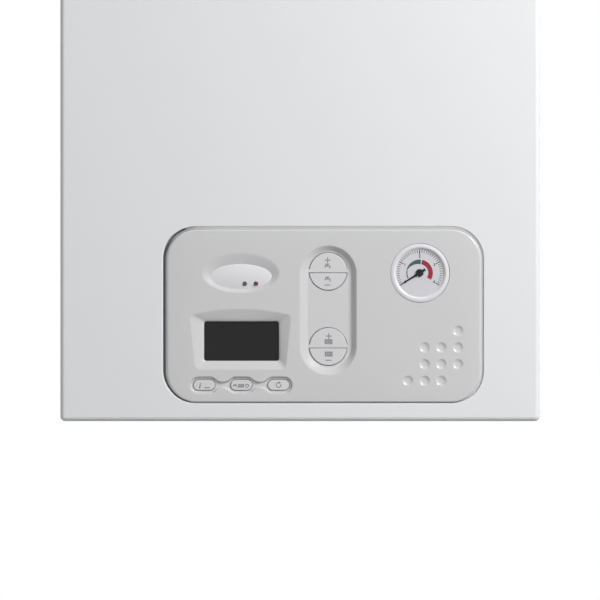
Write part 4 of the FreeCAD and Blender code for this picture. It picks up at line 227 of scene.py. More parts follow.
# %% [markdown]
# ## Finishes
# Real surfaces are never one flat colour. Each finish here starts from a colour that was judged, lets
# a slow noise move it a little, and lifts a fine grain with a bump. A patterned finish, such as zinc with
# its spangle or brushed steel, adds its own mask to the same recipe.


# %% The recipe
BRUSHED_STRETCH = (0.03, 1, 1)
DRAWN_STRETCH = (1, 1, 0.05)


def light(red, green, blue):
    """A colour as it is seen on a screen, 0 to 255, turned into the light that a shader works with, by the
    standard curve: a straight line for the darkest colours and a power of 2.4 for the others."""
    seen = np.array([red, green, blue]) / 255
    linear = np.where(seen <= 0.04045, seen / 12.92, ((seen + 0.055) / 1.055) ** 2.4)
    return (*linear.tolist(), 1.0)


def cloud(start, place, scale):
    """A slow drift over the surface."""
    return start.noise(place, scale)


def spangle(start, place, scale):
    """Crystals of zinc: each cell has its own brightness."""
    cell = start.node("ShaderNodeTexVoronoi", values={"Vector": place, "Scale": scale}, output="Color")
    return start.node("ShaderNodeSeparateColor", values={"Color": cell})


def brushed(start, place, scale):
    """Fine lines along X: a noise that is stretched along one axis."""
    stretch = start.node("ShaderNodeMapping", values={"Vector": place, "Scale": BRUSHED_STRETCH})
    return start.noise(stretch, scale)


def drawn(start, place, scale):
    """Fine lines along Z, as on drawn tube."""
    stretch = start.node("ShaderNodeMapping", values={"Vector": place, "Scale": DRAWN_STRETCH})
    return start.noise(stretch, scale)


def finish(name, colours, roughness, pattern=cloud, scale=40.0, rub=0.02, grain=(1500.0, 0.02), **constants):
    """A Principled finish. The pattern mixes two colours and moves the roughness by the rub, and a fine
    noise lifts the surface by the grain's height in millimetres."""
    material = bpy.data.materials.new(name)
    material.use_nodes = True
    material.node_tree.nodes.clear()
    start = Signal(material.node_tree)
    place = start.node("ShaderNodeTexCoord", output="Object")
    mask = pattern(start, place, scale)
    fineness, height = grain
    bump = {"Strength": 1.0, "Distance": height * MM, "Height": start.noise(place, fineness)}
    values = {
        "Base Color": mask.blend(*[light(*colour) for colour in colours]),
        "Roughness": mask * rub + (roughness - rub / 2),
        "Normal": start.node("ShaderNodeBump", values=bump),
    }
    for word, value in constants.items():
        values[word.replace("_", " ").title().replace("Ior", "IOR")] = value
    surface = start.node("ShaderNodeBsdfPrincipled", values=values)
    start.node("ShaderNodeOutputMaterial", values={"Surface": surface})
    return material


def finish_all(table):
    """Finishes by name, from rows of two colours, a roughness and any other settings."""
    made = {}
    for name, (first, second, roughness, settings) in table.items():
        made[name] = finish(name, (first, second), roughness, **settings)
    return made


# %% [markdown]
# Paint and mouldings come first, since they are most of what is seen: powder-coated steel has a faint orange
# peel, and the moulded plastics have a fine spark grain. The window is dark and only a little glossy.

# %% Paints and plastics
PAINTS = {
    "white_paint": ((222, 223, 225), (224, 225, 226), 0.42, {"grain": (500.0, 0.006)}),
    "fascia_grey": ((201, 201, 202), (202, 202, 203), 0.18, {"grain": (2600.0, 0.002)}),
    "key_grey": ((206, 206, 208), (208, 208, 209), 0.3, {"grain": (2600.0, 0.003)}),
    "white_gloss": ((218, 218, 221), (220, 220, 223), 0.22, {"grain": (300.0, 0.002)}),
    "green_light": ((60, 84, 78), (66, 90, 84), 0.25, {}),
    "red_light": ((92, 40, 58), (98, 44, 62), 0.25, {}),
    "dark_window": ((12, 10, 11), (16, 14, 15), 0.3, {"specular_ior_level": 0.3}),
    "display_block": ((48, 48, 50), (56, 56, 58), 0.5, {}),
    "box_plastic": ((92, 94, 97), (100, 102, 105), 0.55, {}),
    "pointer_black": ((22, 21, 23), (26, 25, 27), 0.45, {"specular_ior_level": 0.2}),
    "wheel_plastic": ((70, 72, 70), (80, 82, 80), 0.5, {}),
    "tap_blue": ((38, 84, 150), (44, 92, 160), 0.42, {}),
    "red_paint": ((158, 34, 30), (170, 40, 34), 0.35, {"grain": (500.0, 0.01)}),
    "motor_paint": ((52, 58, 54), (60, 66, 62), 0.45, {"grain": (800.0, 0.015)}),
    "dial_print": ((207, 207, 212), (209, 209, 214), 0.5, {}),
}

finishes = finish_all(PAINTS)
print("paints and plastics:", len(finishes))

# %% [markdown]
# Metals take their colour from what they reflect, so their base colour is bright and their roughness does
# the work. Galvanised sheet shows crystals, drawn tube shows lines along its length, and castings are dull.

# %% Metals
METAL = {"rub": 0.1, "metallic": 1.0}
CAST = {"rub": 0.1, "metallic": 0.6, "grain": (700.0, 0.12)}
METALS = {
    "zinc_sheet": ((178, 182, 186), (206, 209, 212), 0.82, {"pattern": spangle, "scale": 160.0, **METAL}),
    "screw_steel": ((186, 187, 190), (206, 207, 209), 0.28, METAL),
    "aluminium": ((196, 198, 200), (212, 214, 216), 0.42, {"pattern": brushed, "scale": 900.0, **METAL}),
    "copper": ((206, 128, 92), (190, 108, 74), 0.26, {"pattern": drawn, "scale": 300.0, **METAL}),
    "brass": ((206, 172, 96), (190, 154, 82), 0.32, METAL),
    "steel": ((176, 178, 182), (196, 198, 201), 0.34, {"pattern": brushed, "scale": 700.0, **METAL}),
    "cast_iron": ((58, 60, 62), (74, 76, 78), 0.6, CAST),
}

finishes.update(finish_all(METALS))
print("metals:", len(finishes))


# %% [markdown]
# The last few are special. The gauge's lens is clear, so nearly all light goes straight through it. The
# circuit board is green with paler tracks. Fibre board is matt and chalky, and ceramic has a slight gloss.

# %% Board, fibre, ceramic and glass
TRACK_EDGES = (0.03, 0.08)


def tracks(start, place, scale):
    """Copper tracks under lacquer: the borders of cells, cut to a narrow band."""
    kind = {"feature": "DISTANCE_TO_EDGE"}
    edge = start.node("ShaderNodeTexVoronoi", kind, {"Vector": place, "Scale": scale}, "Distance")
    return 1 - edge.step(*TRACK_EDGES)


SPECIALS = {
    "board": ((26, 84, 52), (60, 124, 78), 0.4, {"pattern": tracks, "scale": 220.0}),
    "fibre": ((226, 220, 204), (208, 200, 180), 0.9, {"grain": (400.0, 0.2)}),
    "ceramic": ((232, 226, 216), (222, 214, 202), 0.3, {}),
    "clear_lens": ((120, 122, 124), (124, 126, 128), 0.06, {"grain": (300.0, 0.0), "alpha": 0.02}),
}

finishes.update(finish_all(SPECIALS))
for row in frame["record"]["subparts"]:
    nodes[row["node"]].material_slots[0].material = finishes[row["material_slot"]]

# %% [markdown]
# ## The control fascia
# The grey moulding that carries the controls has a soft outer edge and soft-lipped recesses: a dish round
# the oval lens, a tapered well round the window, a deep slot for the round keys, one for the pill keys, and
# ten finger-tip dimples. It is one skin. Each recess is a loft between an outer and an inner loop, and a
# triangulation fills the flat face between them, so that all of them meet point to point.

# %% Places on the panel
low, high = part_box("control_fascia")
panel = Vector(((low.x + high.x) / 2, low.y, (low.z + high.z) / 2))


def on_panel(points, depth):
    """Points (u, v) from the panel's middle and a depth behind its face, all in millimetres, in metres."""
    points = np.asarray(points, dtype=float)
    depth = np.broadcast_to(np.asarray(depth, dtype=float), points.shape[:-1])
    away = np.stack([points[..., 0], depth, points[..., 1]], axis=-1)
    return away * MM + np.array(panel)


print("panel middle", [round(side / MM, 2) for side in panel])


# %% Loops
ARC_PULL = 0.5523


def ellipse(centre, half_width, half_height, count=96):
    """Centre plus half-axes times the cosine and sine of an even angle."""
    angle = np.arange(count) * 2 * np.pi / count
    return np.array(centre) + np.stack([half_width * np.cos(angle), half_height * np.sin(angle)], axis=1)


def slot(centre, reach, radius, upright, count=96):
    """A circle cut in two, with its halves pulled apart by the reach along one axis."""
    angle = (np.arange(count) + 0.5) * 2 * np.pi / count
    circle = np.stack([np.cos(angle), np.sin(angle)], axis=1)
    pull = np.sign(circle) * np.array([0, 1] if upright else [1, 0])
    return np.array(centre) + radius * circle + reach * pull


def rounded(corners, radius, bows=(0, 0, 0, 0), side=10, bend=12):
    """A four-sided loop. Each corner is a cubic curve, whose inner points lie at the arc's share of the way
    to the corner, and each side's even steps bow out by four times t times (1 - t) times its bow."""
    corners = np.array(corners, dtype=float)
    along = np.roll(corners, -1, axis=0) - corners
    along /= np.linalg.norm(along, axis=1, keepdims=True)
    start = corners - radius * np.roll(along, 1, axis=0)
    end = corners + radius * along
    t = np.linspace(0, 1, bend)[:, None, None]
    first, second = start + ARC_PULL * (corners - start), end + ARC_PULL * (corners - end)
    bends = (1 - t) ** 3 * start + 3 * t * (1 - t) ** 2 * first
    bends = bends + 3 * t ** 2 * (1 - t) * second + t ** 3 * end
    t = np.linspace(0, 1, side + 2)[1:-1, None, None]
    out = np.stack([along[:, 1], -along[:, 0]], axis=1) * np.array(bows)[:, None]
    sides = (1 - t) * end + t * np.roll(start, -1, axis=0) + 4 * t * (1 - t) * out
    return np.concatenate([bends, sides]).transpose(1, 0, 2).reshape(-1, 2)


def oblong(centre, half_width, half_height):
    """Corners of a rectangle, counter-clockwise from the lower right."""
    signs = np.array([[1, -1], [1, 1], [-1, 1], [-1, -1]])
    return np.array(centre) + signs * np.array([half_width, half_height])


print("a rounded loop has", len(rounded(oblong((0, 0), 2, 1), 0.5)), "points")


# %% Patches
WELD = 1e-7


def strip(rings, closed=True):
    """Rings of points, outermost first and counter-clockwise from the front, joined into quads."""
    count, length = rings.shape[:2]
    here = np.arange(count * length).reshape(count, length)
    ahead = np.roll(here, -1, axis=1)
    if not closed:
        here, ahead = here[:, :-1], ahead[:, :-1]
    quads = np.stack([here[:-1], ahead[:-1], ahead[1:], here[1:]], axis=-1)
    return rings.reshape(-1, 3), quads.reshape(-1, 4)


def soft(stations, steps=7, reach=0.42):
    """Rounds a profile: each inner corner becomes a quadratic curve that leaves and joins its two sides at
    the reach's share of their length."""
    stations = np.array(stations, dtype=float)
    before, corner, after = stations[:-2], stations[1:-1], stations[2:]
    t = np.linspace(0, 1, steps)[:, None, None]
    start = corner + reach * (before - corner)
    end = corner + reach * (after - corner)
    curve = (1 - t) ** 2 * start + 2 * t * (1 - t) * corner + t ** 2 * end
    return np.concatenate([stations[:1], curve.transpose(1, 0, 2).reshape(-1, 2), stations[-1:]])


def loft(outer, inner, profile, deep=1.0):
    """A wall from the outer loop (share 0) to the inner one (share 1), with a depth at each share, times how
    deep the floor is there. Returns the loop that it starts from, the loop that it ends on and the patch."""
    loops = outer + profile[:, 0, None, None] * (inner - outer)
    return loops[0], loops[-1], strip(on_panel(loops, profile[:, 1, None] * deep))


def inside(points, loop):
    """The even-odd rule: a point is inside if a line to its right crosses the loop an odd number of times."""
    here, ahead = loop, np.roll(loop, -1, axis=0)
    x, y = points[:, None, 0], points[:, None, 1]
    rise = ahead[:, 1] - here[:, 1]
    crossing = here[:, 0] + (y - here[:, 1]) * (ahead[:, 0] - here[:, 0]) / np.where(rise == 0, 1, rise)
    straddles = (here[:, 1] > y) != (ahead[:, 1] > y)
    return np.count_nonzero(straddles & (x < crossing), axis=1) % 2 == 1


def sheet_with_holes(outer, holes, depth):
    """Triangles that fill a loop. Those with their middle in a hole are left out. The depth is a number, or a
    function of the points."""
    loops = [outer, *holes]
    edges = []
    first = 0
    for loop in loops:
        here = first + np.arange(len(loop))
        edges += np.stack([here, np.roll(here, -1)], axis=1).tolist()
        first += len(loop)
    points, _, triangles, _, _, _ = delaunay_2d_cdt(np.concatenate(loops).tolist(), edges, [], 0, WELD)
    points, triangles = np.array(points), np.array(triangles)
    middle = points[triangles].mean(axis=1)
    kept = inside(middle, outer)
    for hole in holes:
        kept &= ~inside(middle, hole)
    return on_panel(points, depth(points) if callable(depth) else depth), triangles[kept]


print("patch makers ready")


# %% [markdown]
# Every piece goes through one function: it welds the patches of a piece where their edges share places,
# keeps hard edges hard, gives the finish and says which body the piece rides on.

# %% From patches to a piece
HARD_EDGE = math.radians(42)
MERGE = 1e-6


def piece(name, patches, slot_name, body="boiler", ink=None):
    """One object from patches of points and faces, with touching points merged. It has its slot's finish, or
    else an ink."""
    points = np.concatenate([patch[0] for patch in patches])
    faces = []
    first = 0
    for patch_points, patch_faces in patches:
        faces += (patch_faces + first).tolist()
        first += len(patch_points)
    mesh = bpy.data.meshes.new(name)
    mesh.from_pydata(points.tolist(), [], faces)
    work = bmesh.new()
    work.from_mesh(mesh)
    bmesh.ops.remove_doubles(work, verts=work.verts, dist=MERGE)
    work.to_mesh(mesh)
    work.free()
    mesh.shade_smooth()
    mesh.set_sharp_from_angle(angle=HARD_EDGE)
    mesh.materials.append(ink or finishes[slot_name])
    made = bpy.data.objects.new(name, mesh)
    bpy.context.scene.collection.objects.link(made)
    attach(made, body)
    print(name, len(mesh.vertices), "points", len(mesh.polygons), "faces")
    return made


# %% [markdown]
# The outer rim runs from the flange behind the casing's cut-out, up a ledge in the joint, up the side and
# over a quarter round on to the face. The joint is pale along the top, the right and the bottom and dark
# along the left, so the ledge lies close to the face on all sides but the left one. Along the top it tips
# down a little, away from the light. The round is broad on the left and tight at the bottom. Sizes that
# change round the outline are given for the right, the top, the left and the bottom, and the outward way
# blends them in the corners. An offset keeps the corners' centres, so the half sizes and the radius grow
# together, and every point moves along one line.

# %% Fascia rim
OPENING_HALF = (131.75, 72.0)
FACE_MIDDLE = (0, -1.3)
FACE_HALF = (131.75, 71.7)
FASCIA_RADIUS = 25.5
EDGE_ROUNDS = (2.4, 1.3, 3.2, 0.8)
FLANGE_REACH = 9.0
FLANGE_FRONT = 6.5
FLANGE_BACK = 9.0
LEDGE_REACHES = (1.7, 1.85, 1.7, 1.7)
LEDGE_DEPTHS = (2.3, 2.0, 2.3, 2.3)
LEDGE_FALLS = (0, 0.8, 0, 0)
LEFT_DEPTH = 6.2
LEFT_SPREAD = 0.35
ROUND_STEPS = 9


def outline(middle, half, offset):
    """A round-cornered outline, grown by an offset."""
    half_width, half_height = np.array(half) + offset
    return rounded(oblong(middle, half_width, half_height), FASCIA_RADIUS + offset, bend=16)


def around(section):
    """A ring along the opening's outline for each offset and depth of a section. Both may change round it."""
    return [on_panel(opening + outward * np.reshape(offset, (-1, 1)), depth) for offset, depth in section]


face = outline(FACE_MIDDLE, FACE_HALF, 0)
outward = outline(FACE_MIDDLE, FACE_HALF, 1) - face
right, up = np.clip(outward, 0, 1).T ** 2
left, down = np.clip(-outward, 0, 1).T ** 2
sides = np.stack([right, up, left, down], axis=1)
edge = sides @ np.array(EDGE_ROUNDS)
ledge = sides @ np.array(LEDGE_DEPTHS) + LEFT_DEPTH * left ** LEFT_SPREAD
fall, reach = sides @ np.array(LEDGE_FALLS), sides @ np.array(LEDGE_REACHES)
opening = outline((0, 0), OPENING_HALF, 0)
rim = around([(FLANGE_REACH, FLANGE_BACK), (FLANGE_REACH, FLANGE_FRONT), (reach, FLANGE_FRONT),
              (reach, ledge - fall)])
rim.append(on_panel(face, ledge))
for turn in np.linspace(0, np.pi / 2, ROUND_STEPS):
    inward = edge * (1 - math.cos(turn))
    rim.append(on_panel(face - outward * inward[:, None], edge * (1 - math.sin(turn))))
face_edge = face - outward * edge[:, None]
fascia = [strip(np.stack(rim))]
holes = []
print("rim rings:", len(rim))

# %% [markdown]
# The dish and the well are lofts from an outer loop to an inner one. A profile gives the depth at each share
# of the way: it starts outside the outer loop for a soft lip, and ends with a straight wall at the inner one.
# The dish is a little shallower at its lower left, which keeps the light off that slope.

# %% Lens dish and display well
DISH = ((-69.0, 34.1), 31.8, 16.2)
SEAT = ((-68.7, 31.6), 25.75, 10.45)
DISH_LIP = 0.3
DISH_DEPTH = 2.3
SEAT_DEPTH = 5
DISH_RISE = 0.2
DISH_RISE_ANGLE = math.radians(205)
WELL_CORNERS = ((-31.55, -45.9), (-26.95, -0.1), (-111.2, -0.1), (-106.7, -45.9))
WELL_RADIUS = 4.0
WELL_ARCH = 4.4
WELL_LIP = 0.14
WELL_DEPTH = 3.4
WELL_BEND = 0.35
WINDOW = ((-68.4, -22.4), 31.2, 16.4)
WINDOW_RADIUS = 2.0
WINDOW_DEPTH = 6

dish_profile = np.concatenate([soft([(-DISH_LIP, 0), (0, 0), (1, DISH_DEPTH)]), [(1, SEAT_DEPTH)]])
dish, seat = ellipse(*DISH), ellipse(*SEAT)
angle = np.arange(len(dish)) * 2 * np.pi / len(dish)
dish_deep = 1 - DISH_RISE * np.clip(np.cos(angle - DISH_RISE_ANGLE), 0, 1) ** 2
hole, _, patch = loft(dish, seat, dish_profile, dish_deep)
holes.append(hole)
fascia.append(patch)
well = rounded(WELL_CORNERS, WELL_RADIUS, (0, WELL_ARCH, 0, 0))
window = rounded(oblong(*WINDOW), WINDOW_RADIUS)
well_profile = soft([(-WELL_LIP, 0), (0, 0), (1, WELL_DEPTH), (1, WINDOW_DEPTH)], reach=WELL_BEND)
hole, _, patch = loft(well, window, well_profile)
holes.append(hole)
fascia.append(patch)
print("recesses:", len(holes))

# %% [markdown]
# The round keys share a deep slot with sloping walls. Its floor falls a little to the right, where the wall
# is steep and keeps a broad shadow. Each key is a disc split by a bar of the floor, so the floor has four
# half-round holes with straight walls.

# %% Slot for the round keys
KEY_U = 3.9
KEY_ROWS = (35.7, -27.0)
SLOT_ROWS = (33.5, -27.0)
SLOT_RADIUS = 23.5
SLOT_FLOOR_RADIUS = 18.3
SLOT_DEPTH = 3.5
SLOT_FALL = 0.048
SLOT_SHIFT = (1.3, 0.95)
SLOT_LIP = 0.2
SLOT_TOE = 1.04
KEY_HOLE_RADIUS = 16.2
KEY_BARS = ((1.3, 1), (0.6, -1))
HOLE_WALL = 2.0


def half_disc(centre, radius, bar, way, count=40):
    """The part of a disc beyond a bar: an arc from where the bar meets it, and the bar's straight edge."""
    start = math.asin(bar / radius)
    angle = np.linspace(start, np.pi - start, count)
    arc = radius * np.stack([np.cos(angle), np.sin(angle)], axis=1)
    share = np.linspace(0, 1, 12)[1:-1, None]
    edge = arc[-1] + share * (arc[0] - arc[-1])
    return np.array(centre) + way * np.concatenate([arc, edge])


def wall(loop, start, end):
    """A straight wall down from a loop."""
    return strip(np.stack([on_panel(loop, start), on_panel(loop, end)]))


def floor_depth(points):
    """The depth of the slot's floor, which falls evenly from left to right."""
    return SLOT_DEPTH + SLOT_FALL * (points[:, 0] - KEY_U)


middle = (KEY_U, sum(SLOT_ROWS) / 2)
reach = (SLOT_ROWS[0] - SLOT_ROWS[1]) / 2
slot_profile = soft([(-SLOT_LIP, 0), (0, 0), (1, 1), (SLOT_TOE, 1)])
slot_edge = slot(middle, reach, SLOT_RADIUS, True)
slot_foot = slot(np.array(middle) + SLOT_SHIFT, reach, SLOT_FLOOR_RADIUS, True)
hole, floor_loop, _ = loft(slot_edge, slot_foot, slot_profile)
_, _, patch = loft(slot_edge, slot_foot, slot_profile, floor_depth(floor_loop))
key_holes = [half_disc((KEY_U, row), KEY_HOLE_RADIUS, *bar) for row in KEY_ROWS for bar in KEY_BARS]
holes.append(hole)
fascia += [patch, sheet_with_holes(floor_loop, key_holes, floor_depth)]
fascia += [wall(loop, floor_depth(loop), floor_depth(loop) + HOLE_WALL) for loop in key_holes]
print("key holes:", len(key_holes))

# %% [markdown]
# The pill keys lie in a shallow recess of three lobes with a narrow waist between them. Half of its outline
# is drawn from right to left as arcs that touch, and the other half is its mirror image.

# %% Recess for the pill keys
PILL_PLACES = (-37.5, -68.5, -99.5)
PILL_V = -59.0
PILL_REACH = 4.55
PILL_HOLE_RADIUS = 4.85
LOBE_RADIUS = 7.1
WAIST_AWAY = (10.95, 11.425)
WAIST_RADIUS = 8.725
PILL_DEPTH = 2.2
PILL_SLOPE = 1.2
PILL_LIP = 0.5
PILL_TOE = 1.55


def arc(centre, radius, start, end, count=10):
    """Points on a circle between two angles in degrees."""
    angle = np.radians(np.linspace(start, end, count))
    return np.array(centre) + radius * np.stack([np.cos(angle), np.sin(angle)], axis=1)


def lobes(inset):
    """The outline of the three lobes, moved inward: lobes shrink and waists grow by the inset."""
    touch = math.degrees(math.atan2(WAIST_AWAY[1], WAIST_AWAY[0]))
    half = []
    for place in PILL_PLACES:
        first, last = place == PILL_PLACES[0], place == PILL_PLACES[-1]
        half.append(arc((place + PILL_REACH, 0), LOBE_RADIUS - inset, 0 if first else touch, 90))
        half.append(arc((place - PILL_REACH, 0), LOBE_RADIUS - inset, 90, 180 if last else 180 - touch))
        if not last:
            centre = (place - PILL_REACH - WAIST_AWAY[0], WAIST_AWAY[1])
            half.append(arc(centre, WAIST_RADIUS + inset, -touch, touch - 180, 14)[1:-1])
    half = np.concatenate(half)
    mirrored = half[-2:0:-1] * np.array([1, -1])
    return np.concatenate([half, mirrored]) + np.array([0, PILL_V])


pill_profile = soft([(-PILL_LIP, 0), (0, 0), (1, PILL_DEPTH), (PILL_TOE, PILL_DEPTH)])
hole, floor_loop, patch = loft(lobes(0), lobes(PILL_SLOPE), pill_profile)
pill_holes = [slot((place, PILL_V), PILL_REACH, PILL_HOLE_RADIUS, False, 48) for place in PILL_PLACES]
holes.append(hole)
fascia += [patch, sheet_with_holes(floor_loop, pill_holes, PILL_DEPTH)]
fascia += [wall(loop, PILL_DEPTH, PILL_DEPTH + HOLE_WALL) for loop in pill_holes]
print("pill outline points:", len(hole))

# %% [markdown]
# The gauge sits in a stepped hole. Each dimple is a lip that eases into a bowl, and the bowl's depth falls
# off with the cube of the share of its radius. GAUGE is the pointer's axis, and the rim and its hole lie a
# little off it, as in the picture.

# %% Gauge hole and dimples
GAUGE = (80.1, 34.5)
GAUGE_RIM = (80.4, 34.4)
GAUGE_SEAT_MIDDLE = (80.55, 34.35)
GAUGE_SEAT = ((24.75, 0), (24.75, 1.8), (22.7, 1.8), (22.7, 4))
DIMPLE_FIRST = (70.3, -13.7)
DIMPLE_PITCH = 13.9
DIMPLE_RADIUS = 4.2
DIMPLE_DEPTH = 1.07
DIMPLE_LIP = ((1.16, 0), (1.08, 0.01), (1.02, 0.06))
DIMPLE_SHARE = 0.93
DIMPLE_POINTS = 36
DIMPLE_CELLS = ((3, 0), (1, 1), (2, 1), (3, 1), (1, 2), (2, 2), (3, 2), (0, 3), (1, 3), (2, 3))

seat = [on_panel(ellipse(GAUGE_SEAT_MIDDLE, radius, radius), depth) for radius, depth in GAUGE_SEAT]
holes.append(ellipse(GAUGE_SEAT_MIDDLE, GAUGE_SEAT[0][0], GAUGE_SEAT[0][0]))
fascia.append(strip(np.stack(seat)))
share = np.linspace(DIMPLE_SHARE, 0, 12)
bowl = DIMPLE_DEPTH * (1 - share ** 3)
dimple_profile = np.concatenate([DIMPLE_LIP, np.stack([share, bowl], axis=1)])
for column, row in DIMPLE_CELLS:
    centre = np.array(DIMPLE_FIRST) + DIMPLE_PITCH * np.array([column, -row])
    loop = ellipse(centre, DIMPLE_RADIUS, DIMPLE_RADIUS, DIMPLE_POINTS)
    rings = centre + dimple_profile[:, 0, None, None] * (loop - centre)
    holes.append(rings[0])
    fascia.append(strip(on_panel(rings, dimple_profile[:, 1, None])))
fascia.append(sheet_with_holes(face_edge, holes, 0))
print("openings in the face:", len(holes))

# %% Fascia skin
SKIN = 1.6

fascia_skin = piece("fascia_skin", fascia, "fascia_grey")
thicken = fascia_skin.modifiers.new("wall", "SOLIDIFY")
thicken.thickness = SKIN * MM
thicken.offset = -1
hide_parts("control_fascia")

# %% [markdown]
# A bar stands between the halves of each round key, level with their tops. It laps over the upper half's
# rounded edge, a hair's breadth above it, so only the line below the bar is dark. Its section is a stem with
# a thin lip, carried from right to left over the sloping floor.

# %% Bars between the key halves
BAR_HALF = 16.3
BAR_EDGES = (1.9, -0.85)
BAR_TOP = 2.97
BAR_LIP = 0.03
BAR_FOOT = 0.5
BAR_STEPS = 25


def key_bar(row):
    """A six-sided section at each place along the bar. Its top is level with the keys, or with the floor
    where that is higher."""
    along = KEY_U + np.linspace(BAR_HALF, -BAR_HALF, BAR_STEPS)
    floor = floor_depth(along[:, None])
    top = np.minimum(floor, BAR_TOP) - BAR_LIP
    stem = KEY_BARS[0][0]
    heights = row + np.array([BAR_EDGES[1], BAR_EDGES[1], BAR_EDGES[0], BAR_EDGES[0], stem, stem])
    foot, lip = floor + BAR_FOOT, top + BAR_LIP
    depths = np.stack([foot, top, top, lip, lip, foot], axis=1)
    points = np.stack(np.broadcast_arrays(along[:, None], heights), axis=-1)
    rings = on_panel(points, depths)
    end = np.arange(len(heights))[None, :]
    return [strip(rings), (rings[0], end[:, ::-1]), (rings[-1], end)]


for number, row in enumerate(KEY_ROWS):
    piece("key_bar_" + str(number + 1), key_bar(row), "key_grey")

# %% [markdown]
# A dark grey strip lies in the joint behind the casing's cut-out. It is painted shade: it stands in for the
# shadow in the joint and is what makes the joint dark on the left, while the ledge hides it on the other
# three sides. Its section is a rectangle, carried round the opening.

# %% Dark strip in the joint, painted shade
SHADE_STRIP_FRONT = 4.4
SHADE_STRIP_BACK = 6.2
SHADE_STRIP_REACH = (0.1, 1.6)

section = [(SHADE_STRIP_REACH[1], SHADE_STRIP_BACK), (SHADE_STRIP_REACH[1], SHADE_STRIP_FRONT), (SHADE_STRIP_REACH[0], SHADE_STRIP_FRONT),
           (SHADE_STRIP_REACH[0], SHADE_STRIP_BACK), (SHADE_STRIP_REACH[1], SHADE_STRIP_BACK)]
# Painted shade: this dark strip darkens the joint where it lies in shadow, most of all on the left.
piece("joint_shade_strip", [strip(np.stack(around(section)))], "box_plastic")

# %% [markdown]
# The casing's cut-out has a crisp edge along the top and the right. A slim lip of the same paint squares the
# rounded edge of the solid there, and dies away into it along the left and the bottom. Its section is a wedge
# that lies in the sheet, a few hundredths of a millimetre above the casing's face.

# %% Lip of the cut-out
LIP_LAP = 3.6
LIP_REACHES = (1.85, 1.4, 1.4, 3.2)
LIP_LEFT = 1.8
LIP_SPREAD = 1.5
LIP_STAND = 0.02
LIP_BEVEL = 0.2
LIP_DEPTH = 1.25

casing_face = (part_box("front_casing")[0].y - panel.y) / MM
reach = sides @ np.array(LIP_REACHES) + LIP_LEFT * left ** LIP_SPREAD
lip_top = casing_face - LIP_STAND
section = [(LIP_LAP, lip_top), (reach + LIP_BEVEL, lip_top), (reach, lip_top + LIP_BEVEL),
           (reach, casing_face + LIP_DEPTH), (LIP_LAP, lip_top)]
piece("opening_lip", [strip(np.stack(around(section)))], "white_paint")

# %% [markdown]
# ## Gauge case
# The pressure gauge is a turned cup with a low rounded rim, and inside the rim a cone leads down to the dial.
# The cone catches the light on one side and shades the other. A clear disc closes it. Both are profiles of
# radius and depth, turned round the rim's middle from the back to the front. The bore behind the dial is wide
# enough for the pointer's shaft to turn in, though that is a little off the middle.

# %% Gauge case and lens
CASE_BACK = [(0, 32), (5, 32), (5, 24), (22.4, 24), (22.4, 1.7), (24.35, 1.7), (24.35, -0.15)]
CASE_FRONT = [(21.5, -0.6), (20.0, 0.75), (20.0, 1.0), (21.2, 1.14), (21.2, 2.2), (1.7, 2.2), (1.7, 12.2),
              (0, 12.2)]
RIM_CROWN = 0.15
RIM_FULLNESS = 0.7
LENS_DISC = [(0, 0.02), (20.7, 0.02), (20.7, -0.3), (0, -0.3)]


def turned(profile, count=128):
    """Radius times the cosine and sine of an even angle, about the rim's middle, at each depth."""
    profile = np.array(profile, dtype=float)
    angle = np.arange(count) * 2 * np.pi / count
    circle = np.stack([np.cos(angle), np.sin(angle)], axis=1)
    return strip(on_panel(np.array(GAUGE_RIM) + profile[:, 0, None, None] * circle, profile[:, 1, None]))


t = np.linspace(0, 1, 13)[:, None]
start, end = np.array(CASE_BACK[-1]), np.array(CASE_FRONT[0])
crown = (1 - t) * start + t * end - np.array([0, RIM_CROWN]) * (4 * t * (1 - t)) ** RIM_FULLNESS
case = [*CASE_BACK[:-1], *crown.tolist(), *CASE_FRONT[1:]]
gauge_bezel = piece("gauge_bezel", [turned(case)], "white_gloss")
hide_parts("gauge_case")
gauge_disc = piece("gauge_disc", [turned(LENS_DISC)], "clear_lens")
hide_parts("gauge_lens")

# %% [markdown]
# ## Printing
# Ink is a thin flat layer, so each mark is a flat mesh a few hundredths of a millimetre above what it is
# printed on. Straight strokes are bars, bands are grids in radius and angle, and numerals come from the
# built-in font. The marks on a key ride on that key's body.

# %% Inks
INK = 0.03
INK_STEP = 0.002
INKS = {
    "ink_black": ((34, 33, 36), (38, 37, 40), 0.6, {}),
    "ink_grey": ((136, 133, 137), (142, 139, 143), 0.6, {}),
    "ink_slate": ((106, 104, 108), (112, 110, 114), 0.6, {}),
    "ink_green": ((40, 82, 76), (44, 86, 80), 0.6, {}),
    "ink_red": ((146, 6, 44), (150, 10, 48), 0.6, {}),
    "ink_plum": ((116, 50, 82), (120, 54, 86), 0.6, {}),
}

inks = finish_all(INKS)
print("inks:", list(inks))


# %% Strokes, bands and numerals
NUMERAL_WEIGHT = 0.025


def bars(lines, width, centre, depth):
    """Flat bars along straight lines (u0, v0, u1, v1) about a centre. Both sides lie half a width off the
    line, the ends run half a width on, and each bar is a hair above the one before."""
    lines = np.array(lines, dtype=float).reshape(-1, 2, 2)
    along = lines[:, 1] - lines[:, 0]
    along *= width / 2 / np.linalg.norm(along, axis=1, keepdims=True)
    side = np.stack([along[:, 1], -along[:, 0]], axis=1)
    start, end = lines[:, 0] - along, lines[:, 1] + along
    corners = np.stack([start + side, end + side, end - side, start - side], axis=1) + np.array(centre)
    layers = depth - INK_STEP * np.arange(len(lines))
    return on_panel(corners, layers[:, None]).reshape(-1, 3), np.arange(4 * len(lines)).reshape(-1, 4)


